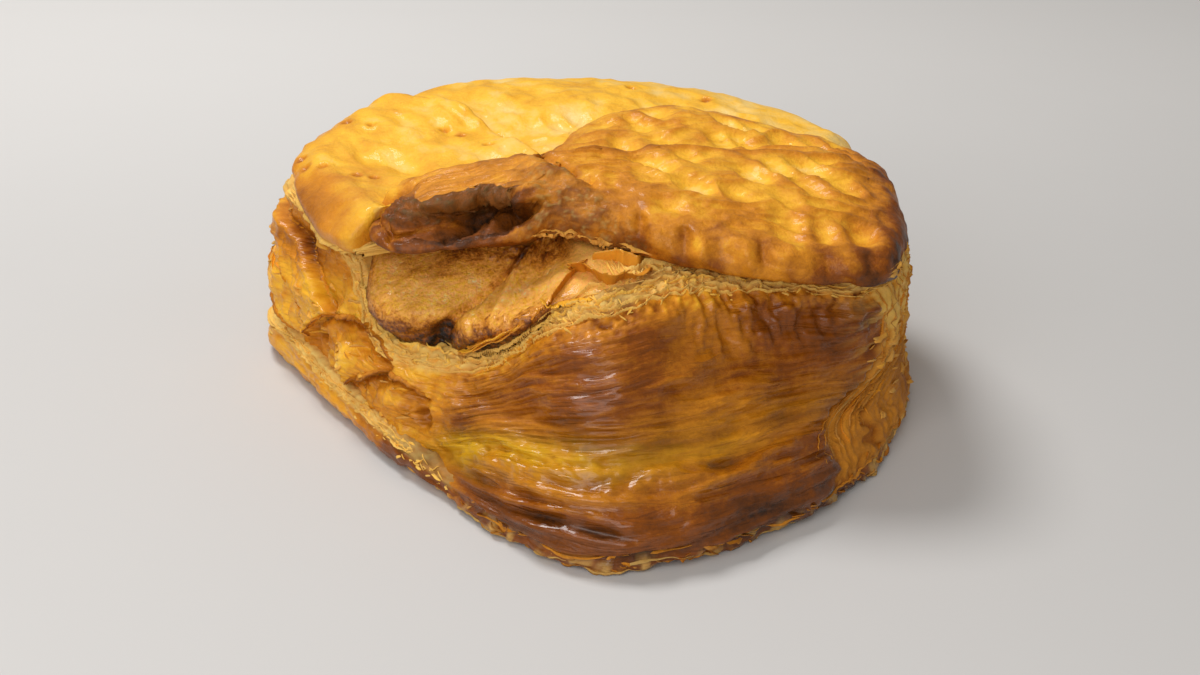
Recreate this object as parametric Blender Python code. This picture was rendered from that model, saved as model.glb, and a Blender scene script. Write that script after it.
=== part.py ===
"""Ham bougatsa: a filled puff pastry parcel, baked brown, folded over itself and lying on its flat base.

The parcel is one piece. It is built from five folds of dough, each a closed loft through unlike rings,
which are then fused: a thin base tier, the tall body, a tucked middle fold with two lobes, the top
sheet, and the flap folded over the top with a burnt open mouth at its left end.
+X is the right side, -Y the front and +Z up. Sizes are in millimetres and become metres in the mesh.
"""
import bmesh
import bpy
import numpy as np
from mathutils import Vector

MM = 0.001

# Driving dimensions: columns of each fold, then relief, mouth and lobes (millimetres, places in degrees)
BODY_COLUMNS = 84
CORE_COLUMNS = 76
TOP_COLUMNS = 76
FLAP_COLUMNS = 104
TIER_COLUMNS = 64

DIMPLE_DEPTH = 1.4
DIMPLE_LENGTH = 13.0
DIMPLE_WIDTH = 7.6
DIMPLE_SLANT = -50
CELL_JITTER = 0.7
KNUCKLE_HEIGHT = 1.1
KNUCKLE_SPACING = 7.6
MOUTH_DEPTH = 17.5
UPPER_LIP_INSET = 10.2
LOBE_STEP = 1.8
LOBE_A, LOBE_B, CLEFT = -58, -24, -40.5
LEFT_FACE, FRONT_LIP = -72, 20

# Plan outlines, (x, y), from behind over the left side to the front and the right side
BASE_OUTLINE = [(5, 66), (-25, 64), (-48, 53), (-65, 34), (-72.5, 14), (-65, 0), (-55, -15), (-37, -39),
                (-18.5, -58.5), (-4, -71), (10, -75), (26, -69.5), (38, -61.5), (51.5, -49), (62.5, -34),
                (69, -22), (74, -8), (76, 10), (72, 30), (59, 47), (34, 60)]
TOP_OUTLINE = [(4, 65.5), (-20, 65), (-38, 59), (-49, 50), (-58, 39), (-64, 26), (-65.5, 14), (-63, 2),
               (-59, -8), (-54, -17.5), (-48, -24), (-40, -18), (-14, -10), (20, -24), (50, -24),
               (64, -15), (66, 5), (61, 20), (61, 32), (52.5, 43), (38, 54), (22, 62)]
FLAP_OUTLINE = [(-43, -15), (-44.5, -25), (-40, -33), (-30, -34.5), (-16, -32.5), (-6, -29.5), (4, -30.5),
                (14, -35.5), (25, -39.5), (37, -41), (50, -41), (62, -36), (67, -25), (69, -10), (69, 6),
                (65, 17), (57, 23), (48, 26), (35, 28), (18, 30), (4, 26), (-4, 15), (-12, 1), (-22, -4),
                (-33, -7), (-40, -10)]
BODY_CENTRE = (2, -2)
TOP_CENTRE = (0, 18)
FLAP_CENTRE = (16, -5)

# Stations (azimuth in degrees, millimetres): 0 is the front, +90 the right side, -90 the left
LEAN = [(-180, 5), (-130, 4), (-100, 7), (-88, 8.5), (-75, 9), (-55, 6), (-35, 11), (-18, 19), (0, 27),
        (15, 31), (30, 31), (45, 26), (58, 18), (68, 9), (80, 6), (110, 5), (150, 6)]
LEDGE_HEIGHT = [(-180, 43), (-108, 43), (-94, 43), (-87, 41.5), (-81, 39), (-76, 36), (-71, 32),
                (-66, 27.5), (-55, 24), (-46, 24.2), (-31, 25.7), (-23, 27.5), (-14, 33), (-9, 37),
                (-3.5, 40.3), (5, 43.6), (12, 45), (30, 44.6), (45, 43.2), (58, 41), (70, 39), (80, 38),
                (100, 39), (140, 42)]
CREASE_HEIGHT = [(-180, 9), (-100, 10), (-60, 8), (-35, 6.5), (-19, 12), (-10, 14.5), (-2, 16.3),
                 (13, 17.3), (22, 16.8), (33, 15.6), (44, 15), (58, 13), (75, 11), (110, 9)]
CREASE_DEPTH = [(-180, 1.5), (-100, 2), (-60, 1.2), (-38, 1), (-25, 2.5), (-5, 4.5), (25, 4.5),
                (45, 3.5), (62, 2), (75, 1), (110, 1)]
CORE_ROOF = [(-180, 46), (-70, 45), (-50, 46), (-20, 46.5), (0, 47.5), (40, 48), (70, 46), (100, 46)]
TOP_LOWER_EDGE = [(-180, 43), (-120, 43), (-100, 43), (-88, 41.5), (-76, 40), (-66, 41.5), (-50, 44),
                  (0, 46), (60, 46), (90, 46), (120, 44)]
FLAP_LOWER_EDGE = [(-180, 50), (-120, 47.5), (-90, 46.5), (-70, 45), (-58, 45.4), (-40, 45.9), (-25, 46.7),
                   (-14, 48.2), (-5, 49.3), (6, 49), (22, 47.4), (34, 46.4), (47, 45.6), (61, 43),
                   (73, 41), (82, 39.5), (95, 41), (112, 45), (140, 50)]
TIER_HEIGHT = [(-180, 9), (-120, 9.5), (-95, 10), (-75, 8.5), (-55, 7.6), (-35, 6.2), (-18, 4.2),
               (0, 2), (30, 1.5), (90, 2), (120, 7)]

# The flap's front crest along x: (x, y) and (x, z). Behind it, at one y, a rear crest: (x, z)
CREST_PLACE = [(-46, -20), (-44, -18), (-41, -15), (-35, -14), (-30, -13), (-22, -12), (-16, -11), (-9, -10),
               (-4, -9), (3, -7), (8, -6), (14, -4), (25, -2), (34, 0), (44, 2), (55, 4), (66, 2)]
CREST_HEIGHT = [(-46, 46), (-44, 48), (-41, 51.2), (-35, 54.8), (-30, 56.3), (-22.6, 57.9), (-16, 59),
                (-9, 60), (-3, 60.7), (3, 60.6), (8, 60), (14, 60.4), (25, 60.2), (34, 59.4), (44, 58.6),
                (55, 57), (63, 54), (70, 50)]
REAR_PLACE = 21
REAR_HEIGHT = [(-14, 51), (-8, 53), (-2, 57), (3, 58.8), (11, 59.8), (20, 60.2), (26, 59.8), (33, 59),
               (39, 58), (50, 55.2), (58, 53), (66, 50.5)]
# How far the mouth opens, as a share, along the flap's lip: (azimuth, share)
MOUTH_WIDTH = [(-67, 0.12), (-61, 0.46), (-55, 0.77), (-50, 1.0), (-40, 1.0)]
# The fold line across the top sheet, in plan
LOBE_EDGE = [(-60, 50), (-48, 46), (-42, 43), (-34, 40), (-27, 34), (-21, 26), (-14, 15), (-8, 6)]

# Forms on the left face: azimuth, height, reach along and upwards, slope, push out of the wall
LEFT_FORMS = [(-90, 22, 9, 9, 0, 1.8), (-66.5, 16.6, 4.2, 3.2, 0, 2.4), (-48.5, 14.6, 6, 2.4, 0.2, 1.2),
              (-38.5, 12.4, 2.8, 2.2, 0, -3.0), (-80, 14.0, 3, 2.4, 0, -2.2), (-100, 14, 6, 3, 0, 1.2)]
# Curves on the left face along which a fold laps over the wall: push out above, pull in below, stations
LAPS = [(1.5, 3.6, [(-85, 13.5), (-80, 20.0), (-70, 24.4), (-62, 23.6), (-50, 20.5)]),
        (1.2, 3.0, [(-69, 10.0), (-61, 14.4), (-54, 18.0), (-46, 19.0), (-38, 17.0)]),
        (-3.2, -1.8, [(-110, 36.0), (-98, 35.2), (-92, 33.4), (-86, 29.6), (-80, 25.5), (-75, 23.0)]),
        (0.8, 1.6, [(-118, 24.0), (-108, 20.5), (-98, 17.0), (-90, 12.5)])]



class Noise:
    """Smooth seeded gradient noise on whole arrays, about -1 to 1."""

    def __init__(self, seed):
        draw = np.random.default_rng(seed)
        self.order = np.tile(draw.permutation(256), 2)
        steep = draw.normal(size=(256, 3))
        self.slope = steep / np.linalg.norm(steep, axis=1)[:, None]

    def __call__(self, x, y, z):
        x, y, z = np.broadcast_arrays(np.asarray(x, float), y, z)
        cells = [np.floor(value).astype(int) for value in (x, y, z)]
        parts = [value - cell for value, cell in zip((x, y, z), cells)]
        fades = [part ** 3 * (part * (part * 6 - 15) + 10) for part in parts]
        total = 0
        for corner in np.ndindex(2, 2, 2):
            key = self.order[(cells[0] + corner[0]) & 255]
            key = self.order[(key + cells[1] + corner[1]) & 255]
            key = self.order[(key + cells[2] + corner[2]) & 255]
            dot = sum(self.slope[key][..., k] * (parts[k] - corner[k]) for k in range(3))
            for fade, side in zip(fades, corner):
                dot = dot * (fade if side else 1 - fade)
            total = total + dot
        return 1.6 * total


noise = Noise(7)


def fractal(x, y, z, octaves=3):
    """Noise summed over octaves, each twice as fine and half as high."""
    return sum(0.5 ** k * noise(x * 2 ** k + 17 * k, y * 2 ** k + 5 * k, z * 2 ** k + 11 * k)
               for k in range(octaves))


def wrap(angle):
    """An angle in degrees brought to -180..180."""
    return (np.asarray(angle) + 180) % 360 - 180


def azimuth(x, y):
    """Degrees around the upright axis: 0 at the front, +90 at the right."""
    return np.degrees(np.arctan2(x, -y))


def swell(angle, centre, spread):
    """A smooth bump around one azimuth."""
    return np.exp(-(wrap(angle - centre) / spread) ** 2)


def mound(x, y, centre, spread):
    """A smooth bump on the plan."""
    return np.exp(-((x - centre[0]) / spread[0]) ** 2 - ((y - centre[1]) / spread[1]) ** 2)


def step(value, low, high):
    """0 below low, 1 above high, smooth between."""
    part = np.clip((value - low) / (high - low), 0, 1)
    return part * part * (3 - 2 * part)


def through(value, keys, values):
    """Cubic curve through the stations, with each station's slope taken from its neighbours."""
    slopes = np.gradient(values, keys)
    value = np.clip(value, keys[0], keys[-1])
    k = np.clip(np.searchsorted(keys, value, side="right") - 1, 0, len(keys) - 2)
    span = keys[k + 1] - keys[k]
    t = (value - keys[k]) / span
    return ((2 * t ** 3 - 3 * t ** 2 + 1) * values[k] + (t ** 3 - 2 * t ** 2 + t) * span * slopes[k]
            + (3 * t ** 2 - 2 * t ** 3) * values[k + 1] + (t ** 3 - t ** 2) * span * slopes[k + 1])


def around(angle, stations):
    """A smooth closed curve through (azimuth, value) stations."""
    keys, values = np.array(sorted(stations), float).T
    return through(wrap(angle), np.r_[keys - 360, keys, keys + 360], np.tile(values, 3))


def along(place, stations):
    """A smooth open curve through (place, value) stations."""
    keys, values = np.array(stations, float).T
    return through(place, keys, values)


def closed_outline(points, count, focus=0.0, centre=0, spread=60):
    """A smooth closed curve through plan points. Its cuts are even, or closer by focus near one azimuth."""
    points = np.array(points, float)
    number = len(points)
    t = np.linspace(0, number, 60 * number, endpoint=False)
    k = t.astype(int)
    part = (t - k)[:, None]
    before, here, after, beyond = (points[(k + shift) % number] for shift in (-1, 0, 1, 2))
    curve = 0.5 * (2 * here + (after - before) * part
                   + (2 * before - 5 * here + 4 * after - beyond) * part ** 2
                   + (3 * here - before - 3 * after + beyond) * part ** 3)
    lengths = np.linalg.norm(np.roll(curve, -1, 0) - curve, axis=1)
    travelled = np.r_[0, np.cumsum(lengths * (1 + focus * swell(azimuth(*curve.T), centre, spread)))]
    even = np.linspace(0, travelled[-1], count, endpoint=False)
    return np.stack([np.interp(even, travelled, np.r_[side, side[0]]) for side in curve.T], -1)


def ring(outline, centre, inset, height):
    """The outline moved inwards, towards the centre, at one height or one height for each point."""
    reach = np.array(centre, float) - outline
    length = np.linalg.norm(reach, axis=1)
    share = np.minimum(np.broadcast_to(inset, length.shape) / length, 0.97)[:, None]
    return np.c_[outline + reach * share, np.broadcast_to(height, length.shape)]


def pole(centre, height, count):
    """All points of a ring at one place, which closes a loft."""
    return np.tile([centre[0], centre[1], height], (count, 1)).astype(float)


def loft(rings, counts):
    """A smooth surface through the rings, with counts[k] rows from ring k to the next one."""
    rings = np.array(rings, float)
    rows = np.r_[np.concatenate([k + np.arange(count) / count for k, count in enumerate(counts)]),
                 len(counts)]
    k = np.clip(np.floor(rows).astype(int), 0, len(rings) - 2)
    t = (rows - k)[:, None, None]
    slopes = np.gradient(rings, axis=0)
    spans = np.linalg.norm(np.diff(rings, axis=0), axis=2)
    limit = 1.3 * np.minimum(spans[1:], spans[:-1])
    steep = np.linalg.norm(slopes[1:-1], axis=2) + 1e-9
    slopes[1:-1] *= np.minimum(1, limit / steep)[..., None]
    return ((2 * t ** 3 - 3 * t ** 2 + 1) * rings[k] + (t ** 3 - 2 * t ** 2 + t) * slopes[k]
            + (3 * t ** 2 - 2 * t ** 3) * rings[k + 1] + (t ** 3 - t ** 2) * slopes[k + 1])


def raise_relief(grid, relief):
    """The surface moved along its own normals by the relief; both poles stay."""
    sideways = np.roll(grid, -1, 1) - np.roll(grid, 1, 1)
    upwards = np.gradient(grid, axis=0)
    normal = np.cross(sideways, upwards)
    normal /= np.linalg.norm(normal, axis=2)[..., None] + 1e-9
    relief = np.array(relief)
    relief[0] = relief[-1] = 0
    return grid + normal * relief[..., None]


def lapped(angle, height, push, pull, stations):
    """A fold that laps over the wall along a curve: pushed out above it, pulled in below, and fading out
    away from it and towards both ends."""
    edge = height - along(angle, stations)
    out = push * step(edge, -2.5, 2.5) * np.exp(-np.clip(edge, 0, None) / 6.0)
    under = pull * step(-edge, -2.5, 2.5) * np.exp(-np.clip(-edge, 0, None) / 4.0)
    first, last = stations[0][0], stations[-1][0]
    return (out - under) * step(angle, first - 3, first + 5) * (1 - step(angle, last - 5, last + 3))


def signed_distance(x, y, path):
    """Distance from an open path in plan, positive on its left side."""
    nearest = np.full(x.shape, 1e9)
    side = np.ones(x.shape)
    for (x0, y0), (x1, y1) in zip(path[:-1], path[1:]):
        run, rise = x1 - x0, y1 - y0
        t = np.clip(((x - x0) * run + (y - y0) * rise) / (run ** 2 + rise ** 2), 0, 1)
        distance = np.hypot(x - x0 - t * run, y - y0 - t * rise)
        closer = distance < nearest
        nearest = np.where(closer, distance, nearest)
        side = np.where(closer, np.sign(run * (y - y0) - rise * (x - x0)), side)
    return nearest * side


def cells(x, y, seed):
    """Jittered cells, one seed in each unit square: the distance to the nearest seed, and a number from
    0 to 1 that belongs to it."""
    spots = np.random.default_rng(seed).random((64, 64, 3))
    column, row = np.floor(x).astype(int), np.floor(y).astype(int)
    nearest = np.full(np.shape(x), 9.0)
    own = np.zeros(np.shape(x))
    start = (1 - CELL_JITTER) / 2 - 1
    for across, up in np.ndindex(3, 3):
        spot = spots[(column + across - 1) % 64, (row + up - 1) % 64]
        seed_x = column + across + start + CELL_JITTER * spot[..., 0]
        seed_y = row + up + start + CELL_JITTER * spot[..., 1]
        away = np.hypot(seed_x - x, seed_y - y)
        closer = away < nearest
        nearest = np.where(closer, away, nearest)
        own = np.where(closer, spot[..., 2], own)
    return nearest, own


def body_grid():
    """The tall body: a fold at its foot, a crease above it, a leaning wall and a ledge at its top."""
    count = BODY_COLUMNS
    outline = closed_outline(BASE_OUTLINE, count, 1.0, LEFT_FACE, 45)
    angle = azimuth(outline[:, 0], outline[:, 1])
    lean, top = around(angle, LEAN), around(angle, LEDGE_HEIGHT)
    crease, depth = around(angle, CREASE_HEIGHT), around(angle, CREASE_DEPTH)
    front, left = swell(angle, 18, 50), swell(angle, -78, 34)
    shoulder = 1 + 3 * front
    waist = shoulder + depth

    def wall(part, bulge):
        inset = waist + (np.maximum(lean, waist) - waist) * part - bulge
        return ring(outline, BODY_CENTRE, inset, crease + (top - crease) * part)

    rings = [pole(BODY_CENTRE, 0, count),
             ring(outline, BODY_CENTRE, 8, 0),
             ring(outline, BODY_CENTRE, 1.6, 0.3),
             ring(outline, BODY_CENTRE, -0.8 * front, crease * 0.36),
             ring(outline, BODY_CENTRE, shoulder + 0.2, crease * 0.80),
             ring(outline, BODY_CENTRE, waist, crease + 0.3),
             wall(0.16, 0.3 * front + 1.8 * left),
             wall(0.50, 1.3 * front + 3.0 * left + 0.6),
             wall(0.85, 2.2 * front + 1.0 * left + 0.8),
             wall(1.00, -0.8),
             ring(outline, BODY_CENTRE, lean + 6, top + 0.6),
             pole(BODY_CENTRE, 34, count)]
    grid = loft(rings, (1, 1, 1, 2, 1, 2, 3, 4, 3, 1, 1))
    x, y, z = np.moveaxis(grid, 2, 0)
    angle = azimuth(x, y)
    folds = step(angle, -125, -100) * (1 - step(angle, -38, -26))
    relief = 0.9 * folds * fractal((x + z) / 12, (y - z) / 12, z / 9, 2)
    relief = relief + 0.8 * (1 - folds) * fractal(x / 22, y / 22, z / 7, 2)
    for place_along, place_up, reach_along, reach_up, slope, push in LEFT_FORMS:
        across = (z - place_up - slope * (angle - place_along)) / (reach_up + 1.5)
        relief = relief + push * np.exp(-((angle - place_along) / reach_along) ** 2 - across ** 2)
    for push, pull, stations in LAPS:
        relief = relief + lapped(angle, z, 0.8 * push, 0.7 * pull, stations)
    below_ledge = 1 - step(z - around(angle, LEDGE_HEIGHT), -3, -1)
    return raise_relief(grid, relief * step(z, 0.3, 4) * (1 - folds * (1 - below_ledge)))


def core_grid():
    """The middle fold, tucked in above the ledge: two lobes at the front left with a cleft between them,
    and a recess that runs back under the flap."""
    count = CORE_COLUMNS
    outline = closed_outline(BASE_OUTLINE, count)
    angle = azimuth(outline[:, 0], outline[:, 1])
    lean, top, roof = around(angle, LEAN), around(angle, LEDGE_HEIGHT), around(angle, CORE_ROOF)
    recess = swell(angle, -30, 38)
    rise = roof - top

    def at(inset, swelling, share, bend):
        """A ring whose lobes and cleft shift by bend degrees."""
        lobe_a = np.exp(-np.abs(wrap(angle - LOBE_A - 0.5 * bend) / 16) ** 3)
        lobe_b = np.exp(-np.abs(wrap(angle - LOBE_B - 0.6 * bend) / 14.5) ** 3)
        cleft = (2.4 + 4.0 * share) * swell(angle, CLEFT + bend, 3.2)
        return ring(outline, BODY_CENTRE, lean + inset - swelling * np.maximum(lobe_a, lobe_b) + cleft,
                    top + rise * share)

    rings = [pole(BODY_CENTRE, 16, count),
             ring(outline, BODY_CENTRE, lean + 14, np.minimum(top - 9, 20)),
             ring(outline, BODY_CENTRE, lean + 2.6, top - 0.8),
             at(2.6, 6.2, 0.22, 1.5),
             at(4.2, 7.0, 0.45, 4.5),
             at(8.0 + 9 * recess, 4.0, 0.70, 8.0),
             ring(outline, BODY_CENTRE, lean + 9 + 12 * recess, top + rise * 0.90),
             ring(outline, BODY_CENTRE, lean + 14 + 10 * recess, roof),
             pole(BODY_CENTRE, 48, count)]
    return loft(rings, (1, 2, 2, 2, 3, 2, 1, 1))


def top_height(x, y):
    """Height of the top sheet's upper face."""
    height = 53.2 + 2.0 * mound(x, y, (0, 44), (46, 16)) - 1.6 * mound(x, y, (-8, 26), (22, 9))
    height = height - 3.6 * mound(0.72 * x + 0.69 * y, 0.72 * y - 0.69 * x, (-32, 42), (26, 44))
    return height - 6 * step(0.25 * x - y, -12, 8) * step(x, -46, -30)


def top_grid():
    """The top sheet: a rounded slab that lies lower on the left and ends in a step on the right."""
    count = TOP_COLUMNS
    outline = closed_outline(TOP_OUTLINE, count)
    angle = azimuth(outline[:, 0], outline[:, 1])
    low = around(angle, TOP_LOWER_EDGE)
    high = top_height(outline[:, 0], outline[:, 1])
    sag = swell(angle, -76, 22)
    rings = [pole(TOP_CENTRE, 42, count),
             ring(outline, TOP_CENTRE, 12, 43),
             ring(outline, TOP_CENTRE, 2.5, low),
             ring(outline, TOP_CENTRE, -0.5, low + (high - low) * 0.36),
             ring(outline, TOP_CENTRE, 1.6 + 2.5 * sag, low + (high - low) * 0.74),
             ring(outline, TOP_CENTRE, 6.5 + 3 * sag, high - 0.4),
             pole(TOP_CENTRE, 53, count)]
    counts = (1, 1, 2, 2, 2, 8)
    grid = loft(rings, counts)
    x, y, z = np.moveaxis(grid, 2, 0)
    crown = step(np.arange(len(grid)), sum(counts[:5]) - 1, sum(counts[:5]) + 2)[:, None]
    grid[..., 2] = z * (1 - crown) + crown * top_height(x, y)
    edge = signed_distance(x, y, LOBE_EDGE)
    from_pole = step(np.hypot(x - TOP_CENTRE[0], y - TOP_CENTRE[1]), 5, 22)
    relief = 0.9 * fractal((x + y) / 16, (y - x) / 26, z / 20, 2)
    shown = step(-x, 4, 14)
    relief = relief - LOBE_STEP * step(edge, -1.5, 2) * np.exp(-np.clip(edge, 0, None) / 16) * shown
    return raise_relief(grid, relief * from_pole * step(z, 44, 49))


def flap_height(x, y):
    """Height of the flap's upper face: a crest along the front half, a dip, and a rear crest behind it."""
    crest, height, rear = along(x, CREST_PLACE), along(x, CREST_HEIGHT), along(x, REAR_HEIGHT)
    before = np.clip((crest - y) / 30, 0, None)
    behind = np.clip((y - crest) / (REAR_PLACE - crest), 0, 1)
    past = np.clip((y - REAR_PLACE) / 9, 0, None)
    depth = 2.8 * (1 - step(x, 42, 50)) + 1.4 * (1 - step(x, -14, 2))
    dip = depth * (1 - np.exp(-np.clip(y - crest, 0, None) / 5)) * (1 - behind) ** 1.3
    return height - 3.4 * before ** 2 + (rear - height) * behind ** 1.3 - dip - 4.5 * past ** 1.5


def quilt(x, y):
    """Slanting oval dimples in jittered cells: 1 in the middle of each and 0 on the ridges between."""
    bent_x = x + 2.5 * noise(x / 16, y / 16, 3.3)
    bent_y = y + 2.5 * noise(x / 16, y / 16, 8.1)
    turn = np.radians(DIMPLE_SLANT)
    lengthways = (bent_x * np.cos(turn) + bent_y * np.sin(turn)) / DIMPLE_LENGTH
    sideways = (bent_y * np.cos(turn) - bent_x * np.sin(turn)) / DIMPLE_WIDTH
    away, own = cells(lengthways, sideways, 5)
    return (1 - step(away, 0.10, 0.46 + 0.16 * own)) * (0.45 + 0.55 * own)


def flap_grid():
    """The flap folded over the top. Its front lip is knuckled, and towards the left end the lip opens into a
    hollow mouth: the profile runs over a lower lip, back into the hollow, up its far wall and out again to
    the upper lip. The mouth narrows to a point at its left end, where an inner roll fills it."""
    count = FLAP_COLUMNS
    outline = closed_outline(FLAP_OUTLINE, count, 1.6, FRONT_LIP, 60)
    x, y = outline.T
    angle = azimuth(x, y)
    spine = np.c_[x * 0.72 + 4.5, -9 - 8 * step(-x, 0, 35)]
    length = np.linalg.norm(spine - outline, axis=1)
    inwards = (spine - outline) / length[:, None]

    def at(inset, height):
        spot = outline + inwards * np.minimum(np.broadcast_to(inset, length.shape), 0.85 * length)[:, None]
        return np.c_[spot, np.broadcast_to(height, length.shape)]

    low = around(angle, FLAP_LOWER_EDGE)
    shoulder = outline + inwards * 9.5
    high = flap_height(shoulder[:, 0], shoulder[:, 1])
    left_end = step(angle, -72, -64)
    mouth, upper_mouth = left_end * (1 - step(angle, -24, -8)), left_end * (1 - step(angle, -30, -13))
    wide = along(angle, MOUTH_WIDTH)
    ceiling = low + 2.4 + (high - low - 2.4) * step(angle, -69, -60)
    roll = swell(angle, -56, 11)
    lip = step(angle, 13, 20) * (1 - step(angle, 56, 63))
    uneven = angle + 3.5 * noise(angle / 9, 2.3, 0.1) - 1
    knuckle = KNUCKLE_HEIGHT * lip * np.cos(2 * np.pi * uneven / KNUCKLE_SPACING)
    thick = swell(angle, 2, 15)

    def mixed(plain, open_mouth, share=upper_mouth):
        return plain * (1 - share) + open_mouth * share

    tall = high - low
    rim = at(mixed(10.5, (UPPER_LIP_INSET + 1.2) * wide), 0)
    rings = [pole(FLAP_CENTRE, 44, count),
             at(15, 44 + 0 * low),
             at(4.5, low + 0.8),
             at(mixed(0.7, 0.9, mouth), low),
             at(-0.3 - 0.5 * knuckle - 0.8 * thick, mixed(low + tall * 0.32, low + 0.9, mouth)),
             at(mixed(0.2, 1.0 * wide, mouth) - 0.8 * knuckle - thick,
                mixed(low + tall * 0.50, low + 1.7, mouth)),
             at(mixed(0.8, 2.8 * wide, mouth) - knuckle - 0.5 * thick,
                mixed(low + tall * 0.64, low + 1.2 + roll, mouth)),
             at(mixed(1.6, (12.5 - 5.0 * roll) * wide, mouth) - knuckle,
                mixed(low + tall * 0.75, low + 0.2 + 3 * roll, mouth)),
             at(mixed(2.6, (MOUTH_DEPTH - 8 * roll) * wide) - 0.5 * knuckle,
                mixed(low + tall * 0.84, low + (0.3 + 0.25 * roll) * (ceiling - low))),
             at(mixed(4.0, (MOUTH_DEPTH - 1 - 4 * roll) * wide) - 0.2 * knuckle,
                mixed(low + tall * 0.91, ceiling - 3.0 * wide)),
             at(mixed(6.0, (UPPER_LIP_INSET + 2) * wide), mixed(low + tall * 0.96, ceiling - 1.9 * wide)),
             at(mixed(8.0, UPPER_LIP_INSET * wide), mixed(high - 0.2, ceiling - 0.7 * wide)),
             np.c_[rim[:, :2], flap_height(rim[:, 0], rim[:, 1])],
             pole(FLAP_CENTRE, 59, count)]
    counts = (1,) * 12 + (11,)
    grid = loft(rings, counts)
    row = np.arange(len(grid))[:, None]
    x, y, z = np.moveaxis(grid, 2, 0)
    crown = step(row, sum(counts[:12]) - 0.5, sum(counts[:12]) + 1)
    grid[..., 2] = z * (1 - crown) + crown * flap_height(x, y)
    x, y, z = np.moveaxis(grid, 2, 0)
    upper = step(row, sum(counts[:9]), sum(counts[:12]))
    ridge = np.exp(-((y - along(x, CREST_PLACE)) / 2.2) ** 2)
    from_pole = step(np.hypot(x - FLAP_CENTRE[0], y - FLAP_CENTRE[1]), 3, 10)
    dimples = quilt(x, y) * step(x, -4, 8) * step(1.05 * x + y, -22, -10) * (1 - ridge)
    relief = upper * (0.3 - DIMPLE_DEPTH * dimples) + 0.4 * fractal(x / 10, y / 8, z / 9, 2)
    return raise_relief(grid, relief * from_pole)


def tier_grid():
    """The thin tier under the body: it shows on the left and behind, and sinks away at the front."""
    count = TIER_COLUMNS
    outline = closed_outline(BASE_OUTLINE, count)
    angle = azimuth(outline[:, 0], outline[:, 1])
    shown = 1 - step(angle, -28, -2) + step(angle, 95, 125)
    height = around(angle, TIER_HEIGHT)
    rings = [pole(BODY_CENTRE, 0.6, count),
             ring(outline, BODY_CENTRE, 8, 0.6),
             ring(outline, BODY_CENTRE, 1.9, 0.8),
             ring(outline, BODY_CENTRE, 0.8 - 1.8 * shown, 0.8 + height * 0.30),
             ring(outline, BODY_CENTRE, 1.1 - 1.6 * shown, 0.8 + height * 0.68),
             ring(outline, BODY_CENTRE, 1.6 - 0.6 * shown, height + 0.3),
             ring(outline, BODY_CENTRE, 3.4, height + 0.3),
             ring(outline, BODY_CENTRE, 12, np.maximum(height - 1, 1)),
             pole(BODY_CENTRE, 3, count)]
    return loft(rings, (1, 1, 2, 1, 1, 1, 1, 1))


def loft_object(name, grid, collection):
    """A closed mesh from a loft's grid: fans at the two poles and quads between the rows."""
    rows, columns = grid.shape[0] - 2, grid.shape[1]
    points = np.concatenate([grid[0, :1], grid[1:-1].reshape(-1, 3), grid[-1, :1]]) * MM
    column = np.arange(columns)
    onward = (column + 1) % columns
    first = 1 + np.arange(rows - 1)[:, None] * columns
    above_row = first + columns
    quads = np.stack([first + column, first + onward, above_row + onward, above_row + column], -1)
    last_row = 1 + (rows - 1) * columns
    below = np.stack([np.zeros_like(column), 1 + onward, 1 + column], -1)
    above = np.stack([np.full_like(column, len(points) - 1), last_row + column, last_row + onward], -1)
    faces = below.tolist() + quads.reshape(-1, 4).tolist() + above.tolist()
    mesh = bpy.data.meshes.new(name)
    mesh.from_pydata(points.tolist(), [], faces)
    piece = bpy.data.objects.new(name, mesh)
    collection.objects.link(piece)
    return piece


def dough_material():
    """Baked dough, golden brown and slightly glossy."""
    material = bpy.data.materials.new("baked_dough")
    material.use_nodes = True
    shader = material.node_tree.nodes["Principled BSDF"]
    shader.inputs["Base Color"].default_value = (0.60, 0.30, 0.08, 1)
    shader.inputs["Roughness"].default_value = 0.45
    shader.inputs["Metallic"].default_value = 0
    return material


def fuse(piece, others):
    """One Boolean union of the piece with everything in the collection, applied."""
    union = piece.modifiers.new("fuse folds", "BOOLEAN")
    union.operation = "UNION"
    union.operand_type = "COLLECTION"
    union.collection = others
    union.solver = "MANIFOLD"
    evaluated = piece.evaluated_get(bpy.context.evaluated_depsgraph_get())
    fused = bpy.data.meshes.new_from_object(evaluated)
    piece.modifiers.clear()
    piece.data = fused
    for other in list(others.objects):
        bpy.data.objects.remove(other)
    bpy.data.collections.remove(others)


def keep_largest_shell(mesh):
    """Drops loose scraps and sealed hollows that the fusing left."""
    shape = bmesh.new()
    shape.from_mesh(mesh)
    bmesh.ops.remove_doubles(shape, verts=shape.verts, dist=0.004 * MM)
    unseen = set(shape.verts)
    shells = []
    while unseen:
        shell = set()
        front = [unseen.pop()]
        while front:
            vertex = front.pop()
            shell.add(vertex)
            for edge in vertex.link_edges:
                neighbour = edge.other_vert(vertex)
                if neighbour in unseen:
                    unseen.remove(neighbour)
                    front.append(neighbour)
        shells.append(shell)
    largest = max(shells, key=len)
    scraps = [vertex for vertex in shape.verts if vertex not in largest]
    bmesh.ops.delete(shape, geom=scraps, context="VERTS")
    bmesh.ops.triangulate(shape, faces=shape.faces)
    shape.to_mesh(mesh)
    shape.free()


def centre_on_base(mesh):
    """Moves the mesh so that its box stands on z = 0, centred on the upright axis."""
    corners = np.array([vertex.co for vertex in mesh.vertices])
    low, high = corners.min(0), corners.max(0)
    shift = Vector((-(low[0] + high[0]) / 2, -(low[1] + high[1]) / 2, -low[2]))
    for vertex in mesh.vertices:
        vertex.co += shift


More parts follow.
